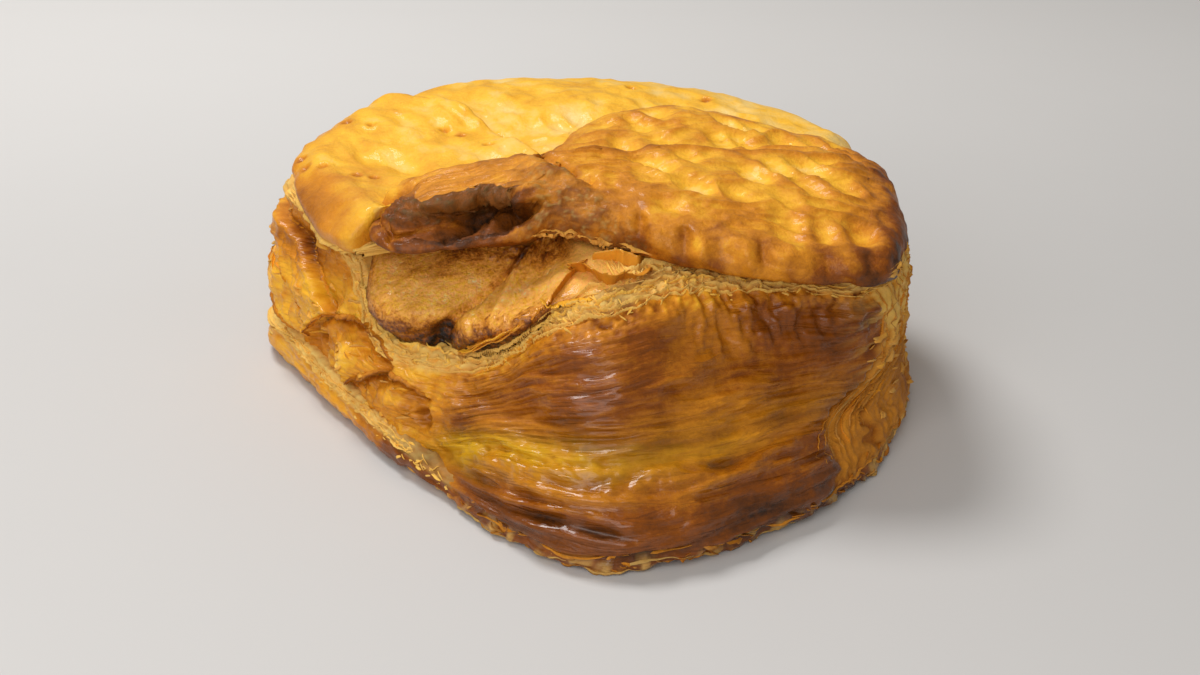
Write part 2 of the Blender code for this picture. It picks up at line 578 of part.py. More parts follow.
def main():
    for leftover in list(bpy.data.objects):
        bpy.data.objects.remove(leftover)
    pastry = bpy.data.collections.new("ham bougatsa")
    folds = bpy.data.collections.new("folds")
    bpy.context.scene.collection.children.link(pastry)
    bpy.context.scene.collection.children.link(folds)
    piece = loft_object("pastry", body_grid(), pastry)
    loft_object("middle fold", core_grid(), folds)
    loft_object("top sheet", top_grid(), folds)
    loft_object("flap", flap_grid(), folds)
    loft_object("base tier", tier_grid(), folds)
    bpy.context.view_layer.update()
    fuse(piece, folds)
    keep_largest_shell(piece.data)
    centre_on_base(piece.data)
    piece.data.materials.clear()
    piece.data.materials.append(dough_material())
    piece.data.shade_smooth()


main()
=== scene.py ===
import math

import bpy
import numpy as np
from mathutils import Matrix


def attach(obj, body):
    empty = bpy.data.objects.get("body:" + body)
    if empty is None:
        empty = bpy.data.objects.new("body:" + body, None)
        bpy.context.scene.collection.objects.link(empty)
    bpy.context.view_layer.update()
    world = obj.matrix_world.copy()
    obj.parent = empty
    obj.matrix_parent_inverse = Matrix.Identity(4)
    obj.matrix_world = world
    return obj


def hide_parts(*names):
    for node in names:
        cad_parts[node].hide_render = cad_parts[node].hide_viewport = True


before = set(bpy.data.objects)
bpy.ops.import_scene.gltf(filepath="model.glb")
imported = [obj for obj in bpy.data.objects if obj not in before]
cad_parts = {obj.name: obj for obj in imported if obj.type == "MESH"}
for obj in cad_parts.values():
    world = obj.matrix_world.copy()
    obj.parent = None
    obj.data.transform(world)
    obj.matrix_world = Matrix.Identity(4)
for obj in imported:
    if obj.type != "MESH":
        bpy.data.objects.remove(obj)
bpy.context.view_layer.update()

bl_info = {
    "name": "Ham bougatsa",
    "version": (1, 0, 0),
    "blender": (4, 5, 0),
    "location": "3D View > Sidebar > Pastry",
    "description": "Builds the folds, flaky edges and finish of a ham bougatsa around its plain solid",
    "category": "Add Mesh",
}

# Everything below is worked out in millimetres, with -Y the front, then moved and scaled into the frame.
MM = 0.001
NODE = "pastry"
DESIGN_CENTRE = (1.487, -4.171, 0.0)

# Plan outlines, (x, y), from behind over the left side to the front and the right side
BASE_OUTLINE = [(5, 66), (-25, 64), (-48, 53), (-65, 34), (-72.5, 14), (-65, 0), (-55, -15), (-37, -39),
                (-18.5, -58.5), (-4, -71), (10, -75), (26, -69.5), (38, -61.5), (51.5, -49), (62.5, -34),
                (69, -22), (74, -8), (76, 10), (72, 30), (59, 47), (34, 60)]
TOP_OUTLINE = [(4, 65.5), (-20, 65), (-38, 59), (-49, 50), (-58, 39), (-64, 26), (-65.5, 14), (-63, 2),
               (-59, -8), (-54, -17.5), (-48, -24), (-40, -18), (-14, -10), (20, -24), (50, -24),
               (64, -15), (66, 5), (61, 20), (61, 32), (52.5, 43), (38, 54), (22, 62)]
FLAP_OUTLINE = [(-43, -15), (-44.5, -25), (-40, -33), (-30, -34.5), (-16, -32.5), (-6, -29.5), (4, -30.5),
                (14, -35.5), (25, -39.5), (37, -41), (50, -41), (62, -36), (67, -25), (69, -10), (69, 6),
                (65, 17), (57, 23), (48, 26), (35, 28), (18, 30), (4, 26), (-4, 15), (-12, 1), (-22, -4),
                (-33, -7), (-40, -10)]
BODY_CENTRE = (2, -2)
TOP_CENTRE = (0, 18)
FLAP_CENTRE = (16, -5)
CAMERA_AIM = (4.6, -38, 32)

# Stations (azimuth in degrees, millimetres): 0 is the front, +90 the right side, -90 the left
LEAN = [(-180, 5), (-130, 4), (-100, 7), (-88, 8.5), (-75, 9), (-55, 6), (-35, 11), (-18, 19), (0, 27),
        (15, 31), (30, 31), (45, 26), (58, 18), (68, 9), (80, 6), (110, 5), (150, 6)]
LEDGE_HEIGHT = [(-180, 43), (-108, 43), (-94, 43), (-87, 41.5), (-81, 39), (-76, 36), (-71, 32),
                (-66, 27.5), (-55, 24), (-46, 24.2), (-31, 25.7), (-23, 27.5), (-14, 33), (-9, 37),
                (-3.5, 40.3), (5, 43.6), (12, 45), (30, 44.6), (45, 43.2), (58, 41), (70, 39), (80, 38),
                (100, 39), (140, 42)]
CREASE_HEIGHT = [(-180, 9), (-100, 10), (-60, 8), (-35, 6.5), (-19, 12), (-10, 14.5), (-2, 16.3),
                 (13, 17.3), (22, 16.8), (33, 15.6), (44, 15), (58, 13), (75, 11), (110, 9)]
CREASE_DEPTH = [(-180, 1.5), (-100, 2), (-60, 1.2), (-38, 1), (-25, 2.5), (-5, 4.5), (25, 4.5),
                (45, 3.5), (62, 2), (75, 1), (110, 1)]
MIDDLE_ROOF = [(-180, 46), (-70, 45), (-50, 46), (-20, 46.5), (0, 47.5), (40, 48), (70, 46), (100, 46)]
TOP_LOWER_EDGE = [(-180, 43), (-120, 43), (-100, 43), (-88, 41.5), (-76, 40), (-66, 41.5), (-50, 44),
                  (0, 46), (60, 46), (90, 46), (120, 44)]
FLAP_LOWER_EDGE = [(-180, 50), (-120, 47.5), (-90, 46.5), (-70, 46), (-60, 47.6), (-50, 47.4), (-42, 47.8),
                   (-34, 48.8), (-25, 49.8), (-14, 50.2), (-5, 50.2), (6, 49.6), (22, 48.7), (34, 48.0),
                   (47, 47.2), (61, 45.0), (73, 42.6), (82, 41), (95, 41), (112, 45), (140, 50)]
TIER_HEIGHT = [(-180, 9), (-120, 9.5), (-95, 10), (-75, 8.5), (-55, 7.6), (-35, 6.2), (-18, 4.2),
               (0, 2), (30, 1.5), (90, 2), (120, 7)]
CREST_PLACE = [(-46, -20), (-44, -18), (-41, -15), (-35, -14), (-30, -13), (-22, -12), (-16, -11), (-9, -10),
               (-4, -9), (3, -7), (8, -6), (14, -4), (25, -2), (34, 0), (44, 2), (55, 4), (66, 2)]
CREST_HEIGHT = [(-46, 46), (-44, 48), (-41, 51.2), (-35, 54.8), (-30, 56.3), (-22.6, 57.9), (-16, 59),
                (-9, 60), (-3, 60.7), (3, 60.6), (8, 60), (14, 60.4), (25, 60.2), (34, 59.4), (44, 58.6),
                (55, 57), (63, 54), (70, 50)]
REAR_PLACE = 21
MOUTH_WIDTH = [(-67, 0.0), (-58, 0.0), (-52, 0.04), (-46, 0.45), (-41, 0.96), (-36, 1.0), (-24, 1.0)]
REAR_HEIGHT = [(-14, 51), (-8, 53), (-2, 57), (3, 58.8), (11, 59.8), (20, 60.2), (26, 59.8), (33, 59),
               (39, 58), (50, 55.2), (58, 53), (66, 50.5)]
LOBE_EDGE = [(-60, 50), (-48, 46), (-42, 43), (-34, 40), (-27, 34), (-21, 26), (-14, 15), (-8, 6)]
DOCKING_PITS = [(-64, 14), (-62, 8), (-58, 6), (-50, 1), (-46, 0), (-33, 26), (-29, 23), (-22, 15),
                (-56, 30), (-50, 28), (10, 50), (28, 44)]

# Forms on the left face: azimuth, height, reach along and upwards, slope, push out of the wall
LEFT_FORMS = [(-90, 22, 9, 9, 0, 1.8), (-66.5, 16.6, 4.2, 3.2, 0, 2.4), (-48.5, 14.6, 6, 2.4, 0.2, 1.2),
              (-38.5, 12.4, 2.8, 2.2, 0, -3.0), (-80, 14.0, 3, 2.4, 0, -2.2), (-100, 14, 6, 3, 0, 1.2)]
# Curves on the left face along which a fold laps over the wall: push out above, pull in below, stations
LAPS = [(1.5, 3.6, [(-85, 13.5), (-80, 20.0), (-70, 24.4), (-62, 23.6), (-50, 20.5)]),
        (1.2, 3.0, [(-69, 10.0), (-61, 14.4), (-54, 18.0), (-46, 19.0), (-38, 17.0)]),
        (-3.2, -1.8, [(-110, 36.0), (-98, 35.2), (-92, 33.4), (-86, 29.6), (-80, 25.5), (-75, 23.0)]),
        (0.8, 1.6, [(-118, 24.0), (-108, 20.5), (-98, 17.0), (-90, 12.5)])]
# Curled strips of dough: azimuth and height of both ends, bow, width, turn in degrees
OPENING_CURLS = [(-12, 38.5, 2, 46.6, 0.6, 1.8, -40), (-4, 44.6, 22, 46.4, 0.4, 4.2, -48),
                 (-9, 41.2, 5, 44.2, -0.2, 2.8, -35), (4, 46.8, 32, 46.9, 0.3, 3.2, 15)]
LOBE_STRIPS = [(-36, 25.6, -13, 37.6, -0.8, 1.5, 30), (-33, 27.2, -14, 37.2, -0.5, 1.7, 45),
               (-29, 29.4, -15, 36.8, -0.2, 1.6, 30)]


# Settings that a user would change

def length_setting(name, description, millimetres):
    """A length setting, given in millimetres."""
    return bpy.props.FloatProperty(name=name, description=description, default=millimetres * MM, min=0,
                                   unit="LENGTH")


def colour_setting(name, description, default):
    """A colour setting."""
    return bpy.props.FloatVectorProperty(name=name, description=description, default=default, size=3,
                                         min=0, max=1, subtype="COLOR")


class PastrySizes(bpy.types.PropertyGroup):
    """Sizes of the relief and of the loose layers."""
    dimple_depth: length_setting("Dimple depth", "Depth of the rows of dimples on the flap", 1.9)
    wrinkle_height: length_setting("Wrinkle height", "Height of the wrinkles on the glossy wall", 0.65)
    knuckle_height: length_setting("Knuckle height", "Height of the lumps along the flap's front lip", 1.5)
    pit_depth: length_setting("Docking pit depth", "Depth of the small pits in the top sheet", 1.1)
    leaf_thickness: length_setting("Leaf thickness", "Thickness of one leaf of dough at a flaky edge", 0.4)
    flake_count: bpy.props.IntProperty(
        name="Flakes", description="Number of small loose flakes along each flaky edge", default=160, min=1)


class PastryColours(bpy.types.PropertyGroup):
    """Colours of the dough, from unbaked to burnt."""
    cream: colour_setting("Cream", "Dough that hardly baked", (0.92, 0.72, 0.32))
    gold: colour_setting("Gold", "Lightly baked upper face", (0.97, 0.52, 0.035))
    amber: colour_setting("Amber", "Well baked dough", (0.66, 0.24, 0.012))
    brown: colour_setting("Brown", "Dark baked wall", (0.25, 0.062, 0.002))
    # Char is partly burnt dough on the mouth's edge and partly painted shade in the mouth's hollow
    char: colour_setting("Char", "Burnt dough in the mouth", (0.022, 0.010, 0.005))
    tan: colour_setting("Tan", "Matt grains on the crust of the middle fold", (1.0, 0.44, 0.12))
    layer: colour_setting("Layer edge", "Dry edges of the thin layers", (1.0, 0.64, 0.19))
    fat: colour_setting("Fat", "Dough soaked with fat along the crease", (0.66, 0.36, 0.008))


class StageSettings(bpy.types.PropertyGroup):
    """Camera, floor and lights."""
    camera_elevation: bpy.props.FloatProperty(
        name="Camera elevation", description="Angle of the camera above the floor",
        default=math.radians(27), unit="ROTATION")
    camera_roll: bpy.props.FloatProperty(
        name="Camera roll", description="Turn of the camera around its own axis",
        default=math.radians(2), unit="ROTATION")
    camera_distance: length_setting("Camera distance", "Distance from the camera to the aimed point", 383)
    camera_lens: bpy.props.FloatProperty(
        name="Lens", description="Focal length on a 36 mm sensor, in millimetres", default=56)
    floor_colour: colour_setting("Floor", "Pale floor", (0.60, 0.585, 0.57))
    key_power: bpy.props.FloatProperty(
        name="Key light", description="Power of the soft light above and behind", default=10.6,
        unit="POWER")
    fill_power: bpy.props.FloatProperty(
        name="Fill light", description="Power of the soft light from the front left", default=14.4,
        unit="POWER")


def sizes():
    return bpy.context.scene.pastry_sizes


def colours():
    return bpy.context.scene.pastry_colours


# Numbers on whole arrays

class Noise:
    """Smooth seeded gradient noise on whole arrays, about -1 to 1: each lattice corner has a random slope,
    and a point blends the heights of the eight slopes around it with a quintic fade. A fixed number as one
    of the coordinates picks a slice of its own."""

    def __init__(self, seed):
        draw = np.random.default_rng(seed)
        self.order = np.tile(draw.permutation(256), 2)
        steep = draw.normal(size=(256, 3))
        self.slope = steep / np.linalg.norm(steep, axis=1)[:, None]

    def __call__(self, x, y, z):
        x, y, z = np.broadcast_arrays(np.asarray(x, float), y, z)
        starts = [np.floor(value).astype(int) for value in (x, y, z)]
        parts = [value - start for value, start in zip((x, y, z), starts)]
        fades = [part ** 3 * (part * (part * 6 - 15) + 10) for part in parts]
        total = 0
        for corner in np.ndindex(2, 2, 2):
            key = 0
            for start, side in zip(starts, corner):
                key = self.order[(key + start + side) & 255]
            dot = sum(self.slope[key][..., k] * (parts[k] - corner[k]) for k in range(3))
            for fade, side in zip(fades, corner):
                dot = dot * (fade if side else 1 - fade)
            total = total + dot
        return 1.6 * total


noise = Noise(7)


def fractal(x, y, z, octaves=3):
    """Noise summed over octaves, each twice as fine and half as high."""
    return sum(0.5 ** k * noise(x * 2 ** k + 17 * k, y * 2 ** k + 5 * k, z * 2 ** k + 11 * k)
               for k in range(octaves))


def ridged(x, y, z, octaves=2):
    """Sharp crests where the noise crosses zero: one less twice its size, summed over octaves."""
    return sum(0.5 ** k * (1 - 2 * np.abs(noise(x * 2 ** k + 13 * k, y * 2 ** k + 7 * k, z * 2 ** k + 3 * k)))
               for k in range(octaves))


def cells(x, y, seed):
    """Jittered cells, one seed in each unit square: the distance to the nearest seed, and a number from 0
    to 1 that belongs to it."""
    spots = np.random.default_rng(seed).random((64, 64, 3))
    column, row = np.floor(x).astype(int), np.floor(y).astype(int)
    nearest = np.full(np.shape(x), 9.0)
    own = np.zeros(np.shape(x))
    for across, up in np.ndindex(3, 3):
        spot = spots[(column + across - 1) % 64, (row + up - 1) % 64]
        away = np.hypot(column + across - 0.85 + 0.7 * spot[..., 0] - x,
                        row + up - 0.85 + 0.7 * spot[..., 1] - y)
        closer = away < nearest
        nearest = np.where(closer, away, nearest)
        own = np.where(closer, spot[..., 2], own)
    return nearest, own


def wrap(angle):
    """An angle in degrees brought to -180..180."""
    return (np.asarray(angle) + 180) % 360 - 180


def azimuth(x, y):
    """Degrees around the upright axis: 0 at the front, +90 at the right."""
    return np.degrees(np.arctan2(x, -y))


def hump(value, centre, spread):
    """A smooth bump: 1 at the centre, about a third at the spread and nearly 0 at twice the spread."""
    return np.exp(-((value - centre) / spread) ** 2)


def swell(angle, centre, spread):
    """A smooth bump around one azimuth."""
    return hump(wrap(angle - centre), 0, spread)


def mound(x, y, centre, spread):
    """A smooth bump on a plane."""
    return np.exp(-((x - centre[0]) / spread[0]) ** 2 - ((y - centre[1]) / spread[1]) ** 2)


def step(value, low, high):
    """0 below low, 1 above high, smooth between."""
    part = np.clip((value - low) / (high - low), 0, 1)
    return part * part * (3 - 2 * part)


def fall(value, low, high):
    """1 below low, 0 above high, smooth between."""
    return 1 - step(value, low, high)


def band(value, low, high, soft):
    """1 between low and high, falling to 0 over soft on both sides."""
    return step(value, low - soft, low) * fall(value, high, high + soft)


def through(value, keys, values):
    """Cubic curve through the stations, with each station's slope taken from its neighbours."""
    slopes = np.gradient(values, keys)
    value = np.clip(value, keys[0], keys[-1])
    k = np.clip(np.searchsorted(keys, value, side="right") - 1, 0, len(keys) - 2)
    span = keys[k + 1] - keys[k]
    t = (value - keys[k]) / span
    return ((2 * t ** 3 - 3 * t ** 2 + 1) * values[k] + (t ** 3 - 2 * t ** 2 + t) * span * slopes[k]
            + (3 * t ** 2 - 2 * t ** 3) * values[k + 1] + (t ** 3 - t ** 2) * span * slopes[k + 1])


def around(angle, stations):
    """A smooth closed curve through (azimuth, value) stations."""
    keys, values = np.array(sorted(stations), float).T
    return through(wrap(angle), np.r_[keys - 360, keys, keys + 360], np.tile(values, 3))


def along(spot, stations):
    """A smooth open curve through (spot, value) stations."""
    keys, values = np.array(stations, float).T
    return through(spot, keys, values)


def closed_outline(points, count, focus=0.0):
    """A smooth closed curve through plan points. Its cuts are even, or closer at the front by focus."""
    points = np.array(points, float)
    number = len(points)
    t = np.linspace(0, number, 80 * number, endpoint=False)
    k = t.astype(int)
    part = (t - k)[:, None]
    before, here, after, beyond = (points[(k + shift) % number] for shift in (-1, 0, 1, 2))
    curve = 0.5 * (2 * here + (after - before) * part
                   + (2 * before - 5 * here + 4 * after - beyond) * part ** 2
                   + (3 * here - before - 3 * after + beyond) * part ** 3)
    lengths = np.linalg.norm(np.roll(curve, -1, 0) - curve, axis=1)
    lengths = lengths * (1 + focus * step(-curve[:, 1], -45, 0))
    travelled = np.r_[0, np.cumsum(lengths)]
    even = np.linspace(0, travelled[-1], count, endpoint=False)
    return np.stack([np.interp(even, travelled, np.r_[side, side[0]]) for side in curve.T], -1)


def arc_length(outline):
    """Distance along the outline from its cut at the front: negative on the left, positive on the right."""
    travelled = np.cumsum(np.linalg.norm(np.roll(outline, -1, 0) - outline, axis=1))
    return travelled - travelled[np.argmin(np.abs(azimuth(*outline.T)))]


def ring(outline, centre, inset, height):
    """The outline moved inwards, towards the centre, at one height or one height for each point."""
    reach = np.array(centre, float) - outline
    length = np.linalg.norm(reach, axis=1)
    share = np.minimum(np.broadcast_to(inset, length.shape) / length, 0.97)[:, None]
    return np.c_[outline + reach * share, np.broadcast_to(height, length.shape)]


def pole(centre, height, count):
    """All points of a ring at one place, which closes a loft."""
    return np.tile([centre[0], centre[1], height], (count, 1)).astype(float)


def loft(rings, counts):
    """A smooth surface through the rings, with counts[k] rows from ring k to the next one. Each column is a
    cubic curve whose slope at a ring is half the way between its two neighbours, held short where it bends
    tightly."""
    rings = np.array(rings, float)
    rows = np.r_[np.concatenate([k + np.arange(count) / count for k, count in enumerate(counts)]),
                 len(counts)]
    k = np.clip(np.floor(rows).astype(int), 0, len(rings) - 2)
    t = (rows - k)[:, None, None]
    slopes = np.gradient(rings, axis=0)
    spans = np.linalg.norm(np.diff(rings, axis=0), axis=2)
    limit = 1.3 * np.minimum(spans[1:], spans[:-1])
    steep = np.linalg.norm(slopes[1:-1], axis=2) + 1e-9
    slopes[1:-1] *= np.minimum(1, limit / steep)[..., None]
    return ((2 * t ** 3 - 3 * t ** 2 + 1) * rings[k] + (t ** 3 - 2 * t ** 2 + t) * slopes[k]
            + (3 * t ** 2 - 2 * t ** 3) * rings[k + 1] + (t ** 3 - t ** 2) * slopes[k + 1])


def normals(grid):
    """Unit normals of a closed grid: the cross product of its steps along the rows and the columns."""
    normal = np.cross(np.roll(grid, -1, 1) - np.roll(grid, 1, 1), np.gradient(grid, axis=0))
    return normal / (np.linalg.norm(normal, axis=2)[..., None] + 1e-9)


def raise_relief(grid, relief):
    """The surface moved along its own normals by the relief; both poles stay, and nothing sinks below the
    floor."""
    relief = np.array(relief)
    relief[0] = relief[-1] = 0
    moved = grid + normals(grid) * relief[..., None]
    moved[..., 2] = np.maximum(moved[..., 2], 0)
    return moved


def signed_distance(x, y, path):
    """Distance from an open path in plan, positive on its left side."""
    nearest = np.full(x.shape, 1e9)
    side = np.ones(x.shape)
    for (x0, y0), (x1, y1) in zip(path[:-1], path[1:]):
        run, rise = x1 - x0, y1 - y0
        t = np.clip(((x - x0) * run + (y - y0) * rise) / (run ** 2 + rise ** 2), 0, 1)
        distance = np.hypot(x - x0 - t * run, y - y0 - t * rise)
        closer = distance < nearest
        nearest = np.where(closer, distance, nearest)
        side = np.where(closer, np.sign(run * (y - y0) - rise * (x - x0)), side)
    return nearest * side


def split(grid):
    """The x, y and z of a grid of points."""
    return grid[..., 0], grid[..., 1], grid[..., 2]


def wall_rows(counts, first, last):
    """The rows of the two rings between which the wall lies."""
    return sum(counts[:first]), sum(counts[:last])


def dough_marks(bake, layer, gloss, fat=0.0):
    """What the dough's material reads: how far it is baked, with painted shade and painted highlights added
    in places, how much of it is a dry layer edge, how glossy it is and how much fat it holds."""
    return {"bake": bake, "layer": np.clip(layer, 0, 1), "fat": np.clip(fat, 0, 1), "gloss": gloss}


# Meshes

def closed_mesh(name, grids, marks):
    """Closed meshes from one or more grids of the same shape (rows, columns): a fan at each pole, quads
    between the rows, and faces turned outwards. marks holds one number, or one for each grid point, under
    each name."""
    grids = np.reshape(grids, (-1,) + np.shape(grids)[-3:])
    count, rows, columns = grids.shape[:3]

    def flat(values):
        """The values of all vertices: one for each pole, and all of the rows between."""
        middle = values[:, 1:-1].reshape(count, (rows - 2) * columns, -1)
        return np.concatenate([values[:, :1, 0], middle, values[:, -1:, 0]], 1).reshape(-1, values.shape[-1])

    points = (flat(grids) - DESIGN_CENTRE) * MM
    column = np.arange(columns)
    onward = (column + 1) % columns
    first = 1 + np.arange(rows - 3)[:, None] * columns
    quads = np.stack([first + column, first + onward, first + columns + onward, first + columns + column], -1)
    top = (rows - 2) * columns + 1
    below = np.stack([np.zeros_like(column), 1 + onward, 1 + column], -1)
    above = np.stack([np.full_like(column, top), top - columns + column, top - columns + onward], -1)
    patches = np.cross(np.roll(grids, -1, 2)[:, :-1] - grids[:, :-1], grids[:, 1:] - grids[:, :-1])
    inside_out = ((grids[:, :-1] - grids.mean((1, 2), keepdims=True)) * patches).sum((1, 2, 3)) < 0
    starts = (np.arange(count) * (top + 1))[:, None, None]

    def copies(faces):
        faces = faces.reshape(1, -1, faces.shape[-1]) + starts
        return np.where(inside_out[:, None, None], faces[..., ::-1], faces).reshape(-1, faces.shape[-1])

    marks = {key: flat(np.broadcast_to(value, grids.shape[:3])[..., None]) for key, value in marks.items()}
    return mesh_object(name, points, copies(quads), copies(np.concatenate([below, above])), marks)


def mesh_object(name, points, quads, triangles, marks):
    """A smooth-shaded object from arrays of points, quads and triangles, with point attributes."""
    mesh = bpy.data.meshes.new(name)
    corners = np.concatenate([quads.ravel(), triangles.ravel()]).astype(np.int32)
    starts = np.concatenate([np.arange(len(quads)) * 4,
                             len(quads) * 4 + np.arange(len(triangles)) * 3]).astype(np.int32)
    mesh.vertices.add(len(points))
    mesh.vertices.foreach_set("co", np.asarray(points, np.float32).ravel())
    mesh.loops.add(len(corners))
    mesh.loops.foreach_set("vertex_index", corners)
    mesh.polygons.add(len(starts))
    mesh.polygons.foreach_set("loop_start", starts)
    mesh.update(calc_edges=True)
    mesh.validate()
    for key, values in marks.items():
        attribute = mesh.attributes.new(key, "FLOAT", "POINT")
        attribute.data.foreach_set("value", np.asarray(values, np.float32).ravel())
    mesh.shade_smooth()
    piece = bpy.data.objects.new(name, mesh)
    bpy.context.scene.collection.objects.link(piece)
    return piece


def place(piece, material):
    """Hands a finished piece to the frame: gives it its material, hangs it under the root and hides the plain
    solid, which it stands for.
    """
    piece.data.materials.append(material)
    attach(piece, "root")
    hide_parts(NODE)


# Shader maths

class Value:
    """A number socket of a node tree; arithmetic on it adds Math nodes."""

    def __init__(self, paint, socket):
        self.paint = paint
        self.socket = socket

    def math(self, operation, *others, swapped=False):
        terms = [self, *others]
        if swapped:
            terms.reverse()
        return self.paint.node("ShaderNodeMath", {"operation": operation}, dict(enumerate(terms)))

    def __add__(self, other):
        return self.math("ADD", other)

    __radd__ = __add__

    def __mul__(self, other):
        return self.math("MULTIPLY", other)

    __rmul__ = __mul__

    def __sub__(self, other):
        return self.math("SUBTRACT", other)

    def __rsub__(self, other):
        return self.math("SUBTRACT", other, swapped=True)

    def clamped(self):
        return self.math("MAXIMUM", 0.0).math("MINIMUM", 1.0)

    def between(self, low, high):
        """0 at low, 1 at high, smooth between."""
        return self.paint.node("ShaderNodeMapRange", {"interpolation_type": "SMOOTHSTEP"},
                               {"Value": self, "From Min": low, "From Max": high})


class Paint:
    """A material's node tree, with one method for any node."""

    def __init__(self, name):
        self.material = bpy.data.materials.new(name)
        self.material.use_nodes = True
        self.tree = self.material.node_tree
        self.shader = self.tree.nodes["Principled BSDF"]

    def connect(self, socket, value):
        if isinstance(value, Value):
            self.tree.links.new(value.socket, socket)
        elif socket.type == "RGBA":
            socket.default_value = (*value, 1.0)
        else:
            socket.default_value = value

    def node(self, kind, settings=None, sockets=None, output=0):
        """Adds a node: its settings first, then its sockets, by name or number, as values or links."""
        node = self.tree.nodes.new(kind)
        for key, value in (settings or {}).items():
            if key == "stops":
                set_stops(node.color_ramp, value)
            else:
                setattr(node, key, value)
        for key, value in (sockets or {}).items():
            self.connect(node.inputs[key], value)
        return Value(self, node.outputs[output])

    def mark(self, name):
        """A point attribute of the mesh."""
        return self.node("ShaderNodeAttribute", {"attribute_name": name}, output="Fac")

    def spot(self, stretch=(1, 1, 1)):
        """Object coordinates in millimetres, divided by the stretch along each axis."""
        coordinates = self.node("ShaderNodeTexCoord", output="Object")
        scale = tuple(1 / (MM * part) for part in stretch)
        return self.node("ShaderNodeVectorMath", {"operation": "MULTIPLY"}, {0: coordinates, 1: scale})

    def grain(self, size, stretch=(1, 1, 1), detail=3.0, roughness=0.55, twist=0.0):
        """Noise, about 0 to 1, whose features are size millimetres wide."""
        return self.node("ShaderNodeTexNoise", {"noise_dimensions": "3D"},
                         {"Vector": self.spot(stretch), "Scale": 1 / size, "Detail": detail,
                          "Roughness": roughness, "Distortion": twist}, output="Fac")

    def blend(self, factor, first, second):
        """Mixes two colours."""
        return self.node("ShaderNodeMix", {"data_type": "RGBA"}, {0: factor, 6: first, 7: second}, output=2)

    def bump(self, height, depth):
        """A bump of that height, depth in millimetres."""
        return self.node("ShaderNodeBump", {}, {"Height": height, "Distance": depth * MM, "Strength": 1.0})

    def finish(self, varying, constant):
        """Links what varies over the surface and sets what is the same all over."""
        for key, value in varying.items():
            self.tree.links.new(value.socket, self.shader.inputs[key])
        for key, value in constant.items():
            self.shader.inputs[key].default_value = value
        return self.material


def set_stops(ramp, stops):
    """Gives a colour ramp its stops, each a place and a colour."""
    while len(ramp.elements) < len(stops):
        ramp.elements.new(1.0)
    for element, (position, colour) in zip(ramp.elements, stops):
        element.position = position
        element.color = (*colour, 1.0)


def dough_material(name, grain_size=0.9, speckle=0.10, bump_depth=0.25, stretch=(1, 1, 1), sparkle=0.0,
                   streaks=0.0):
    """Baked dough. The mesh says how far each point is baked, with painted shade and painted highlights added
    in places (bake), how much of it is a dry layer edge (layer), how much fat it holds (fat) and how glossy
    it is (gloss), and noise breaks each of them up. Sparkle adds tan grains where the dough is least baked
    and least shaded, and streaks raises crisp crinkles where it is glossy, along the mesh's own directions
    (run and flow)."""
    paint = Paint(name)
    tones = colours()
    coarse = paint.grain(grain_size * 6, stretch, detail=4)
    fine = paint.grain(grain_size, stretch, detail=4, roughness=0.65)
    dust = paint.grain(grain_size * 0.33, detail=2, roughness=0.7)
    bake = paint.mark("bake") + (coarse - 0.5) * 0.20 + (fine - 0.5) * speckle * 2 + (dust - 0.5) * speckle
    crust = paint.node("ShaderNodeValToRGB", {"stops": (
        (0.00, tones.cream), (0.26, tones.gold), (0.50, tones.amber), (0.76, tones.brown),
        (1.00, tones.char))}, {"Fac": bake.clamped()}, output="Color")
    layer = (paint.mark("layer") * (0.75 + fine * 0.5)).clamped()
    dry = paint.blend((fine * 0.8 + dust * 0.4 - 0.1).clamped(), tuple(0.70 * part for part in tones.layer),
                      tuple(min(1.0, 1.15 * part) for part in tones.layer))
    fat = (paint.mark("fat") * (0.5 + coarse)).clamped()
    colour = paint.blend(fat, crust, tuple(tones.fat))
    colour = paint.blend(layer, colour, dry)
    if sparkle:
        pale = (1.1 - bake * 1.6).clamped()
        specks = paint.grain(grain_size * 1.3, detail=2).between(0.34, 0.60) * pale * sparkle
        colour = paint.blend(specks, colour, tuple(tones.tan))
    gloss = (paint.mark("gloss") + (coarse - 0.5) * 0.5 - layer * 0.6).clamped()
    roughness = 0.58 - gloss * 0.36 + (fine - 0.5) * 0.14
    height = fine * 0.75 + dust * 0.3
    if streaks:
        course = paint.node("ShaderNodeCombineXYZ", {},
                            {0: paint.mark("run") * (1 / 10), 1: paint.mark("flow")})
        folded = paint.node("ShaderNodeTexNoise", {"noise_dimensions": "2D"},
                            {"Vector": course, "Scale": 0.9, "Detail": 2, "Distortion": 0.4}, output="Fac")
        crinkle = 1 - (folded * 2 - 1).math("ABSOLUTE")
        height = height * 0.6 + crinkle * gloss * streaks
    skin = paint.bump(height, bump_depth)
    return paint.finish({"Base Color": colour, "Roughness": roughness, "Coat Weight": gloss * 0.62,
                         "Normal": skin},
                        {"Coat Roughness": 0.09, "Coat IOR": 1.42, "Specular IOR Level": 0.18})


def lapped(angle, height, push, pull, stations):
    """A fold that laps over the wall along a curve: pushed out above it, pulled in below, and fading out
    away from it and towards both ends."""
    edge = height - along(angle, stations)
    out = push * step(edge, -0.3, 0.6) * np.exp(-np.clip(edge, 0, None) / 4.5)
    under = pull * step(-edge, -0.3, 0.6) * np.exp(-np.clip(-edge, 0, None) / 3.0)
    return (out - under) * band(angle, stations[0][0] + 2, stations[-1][0] - 2, 4)


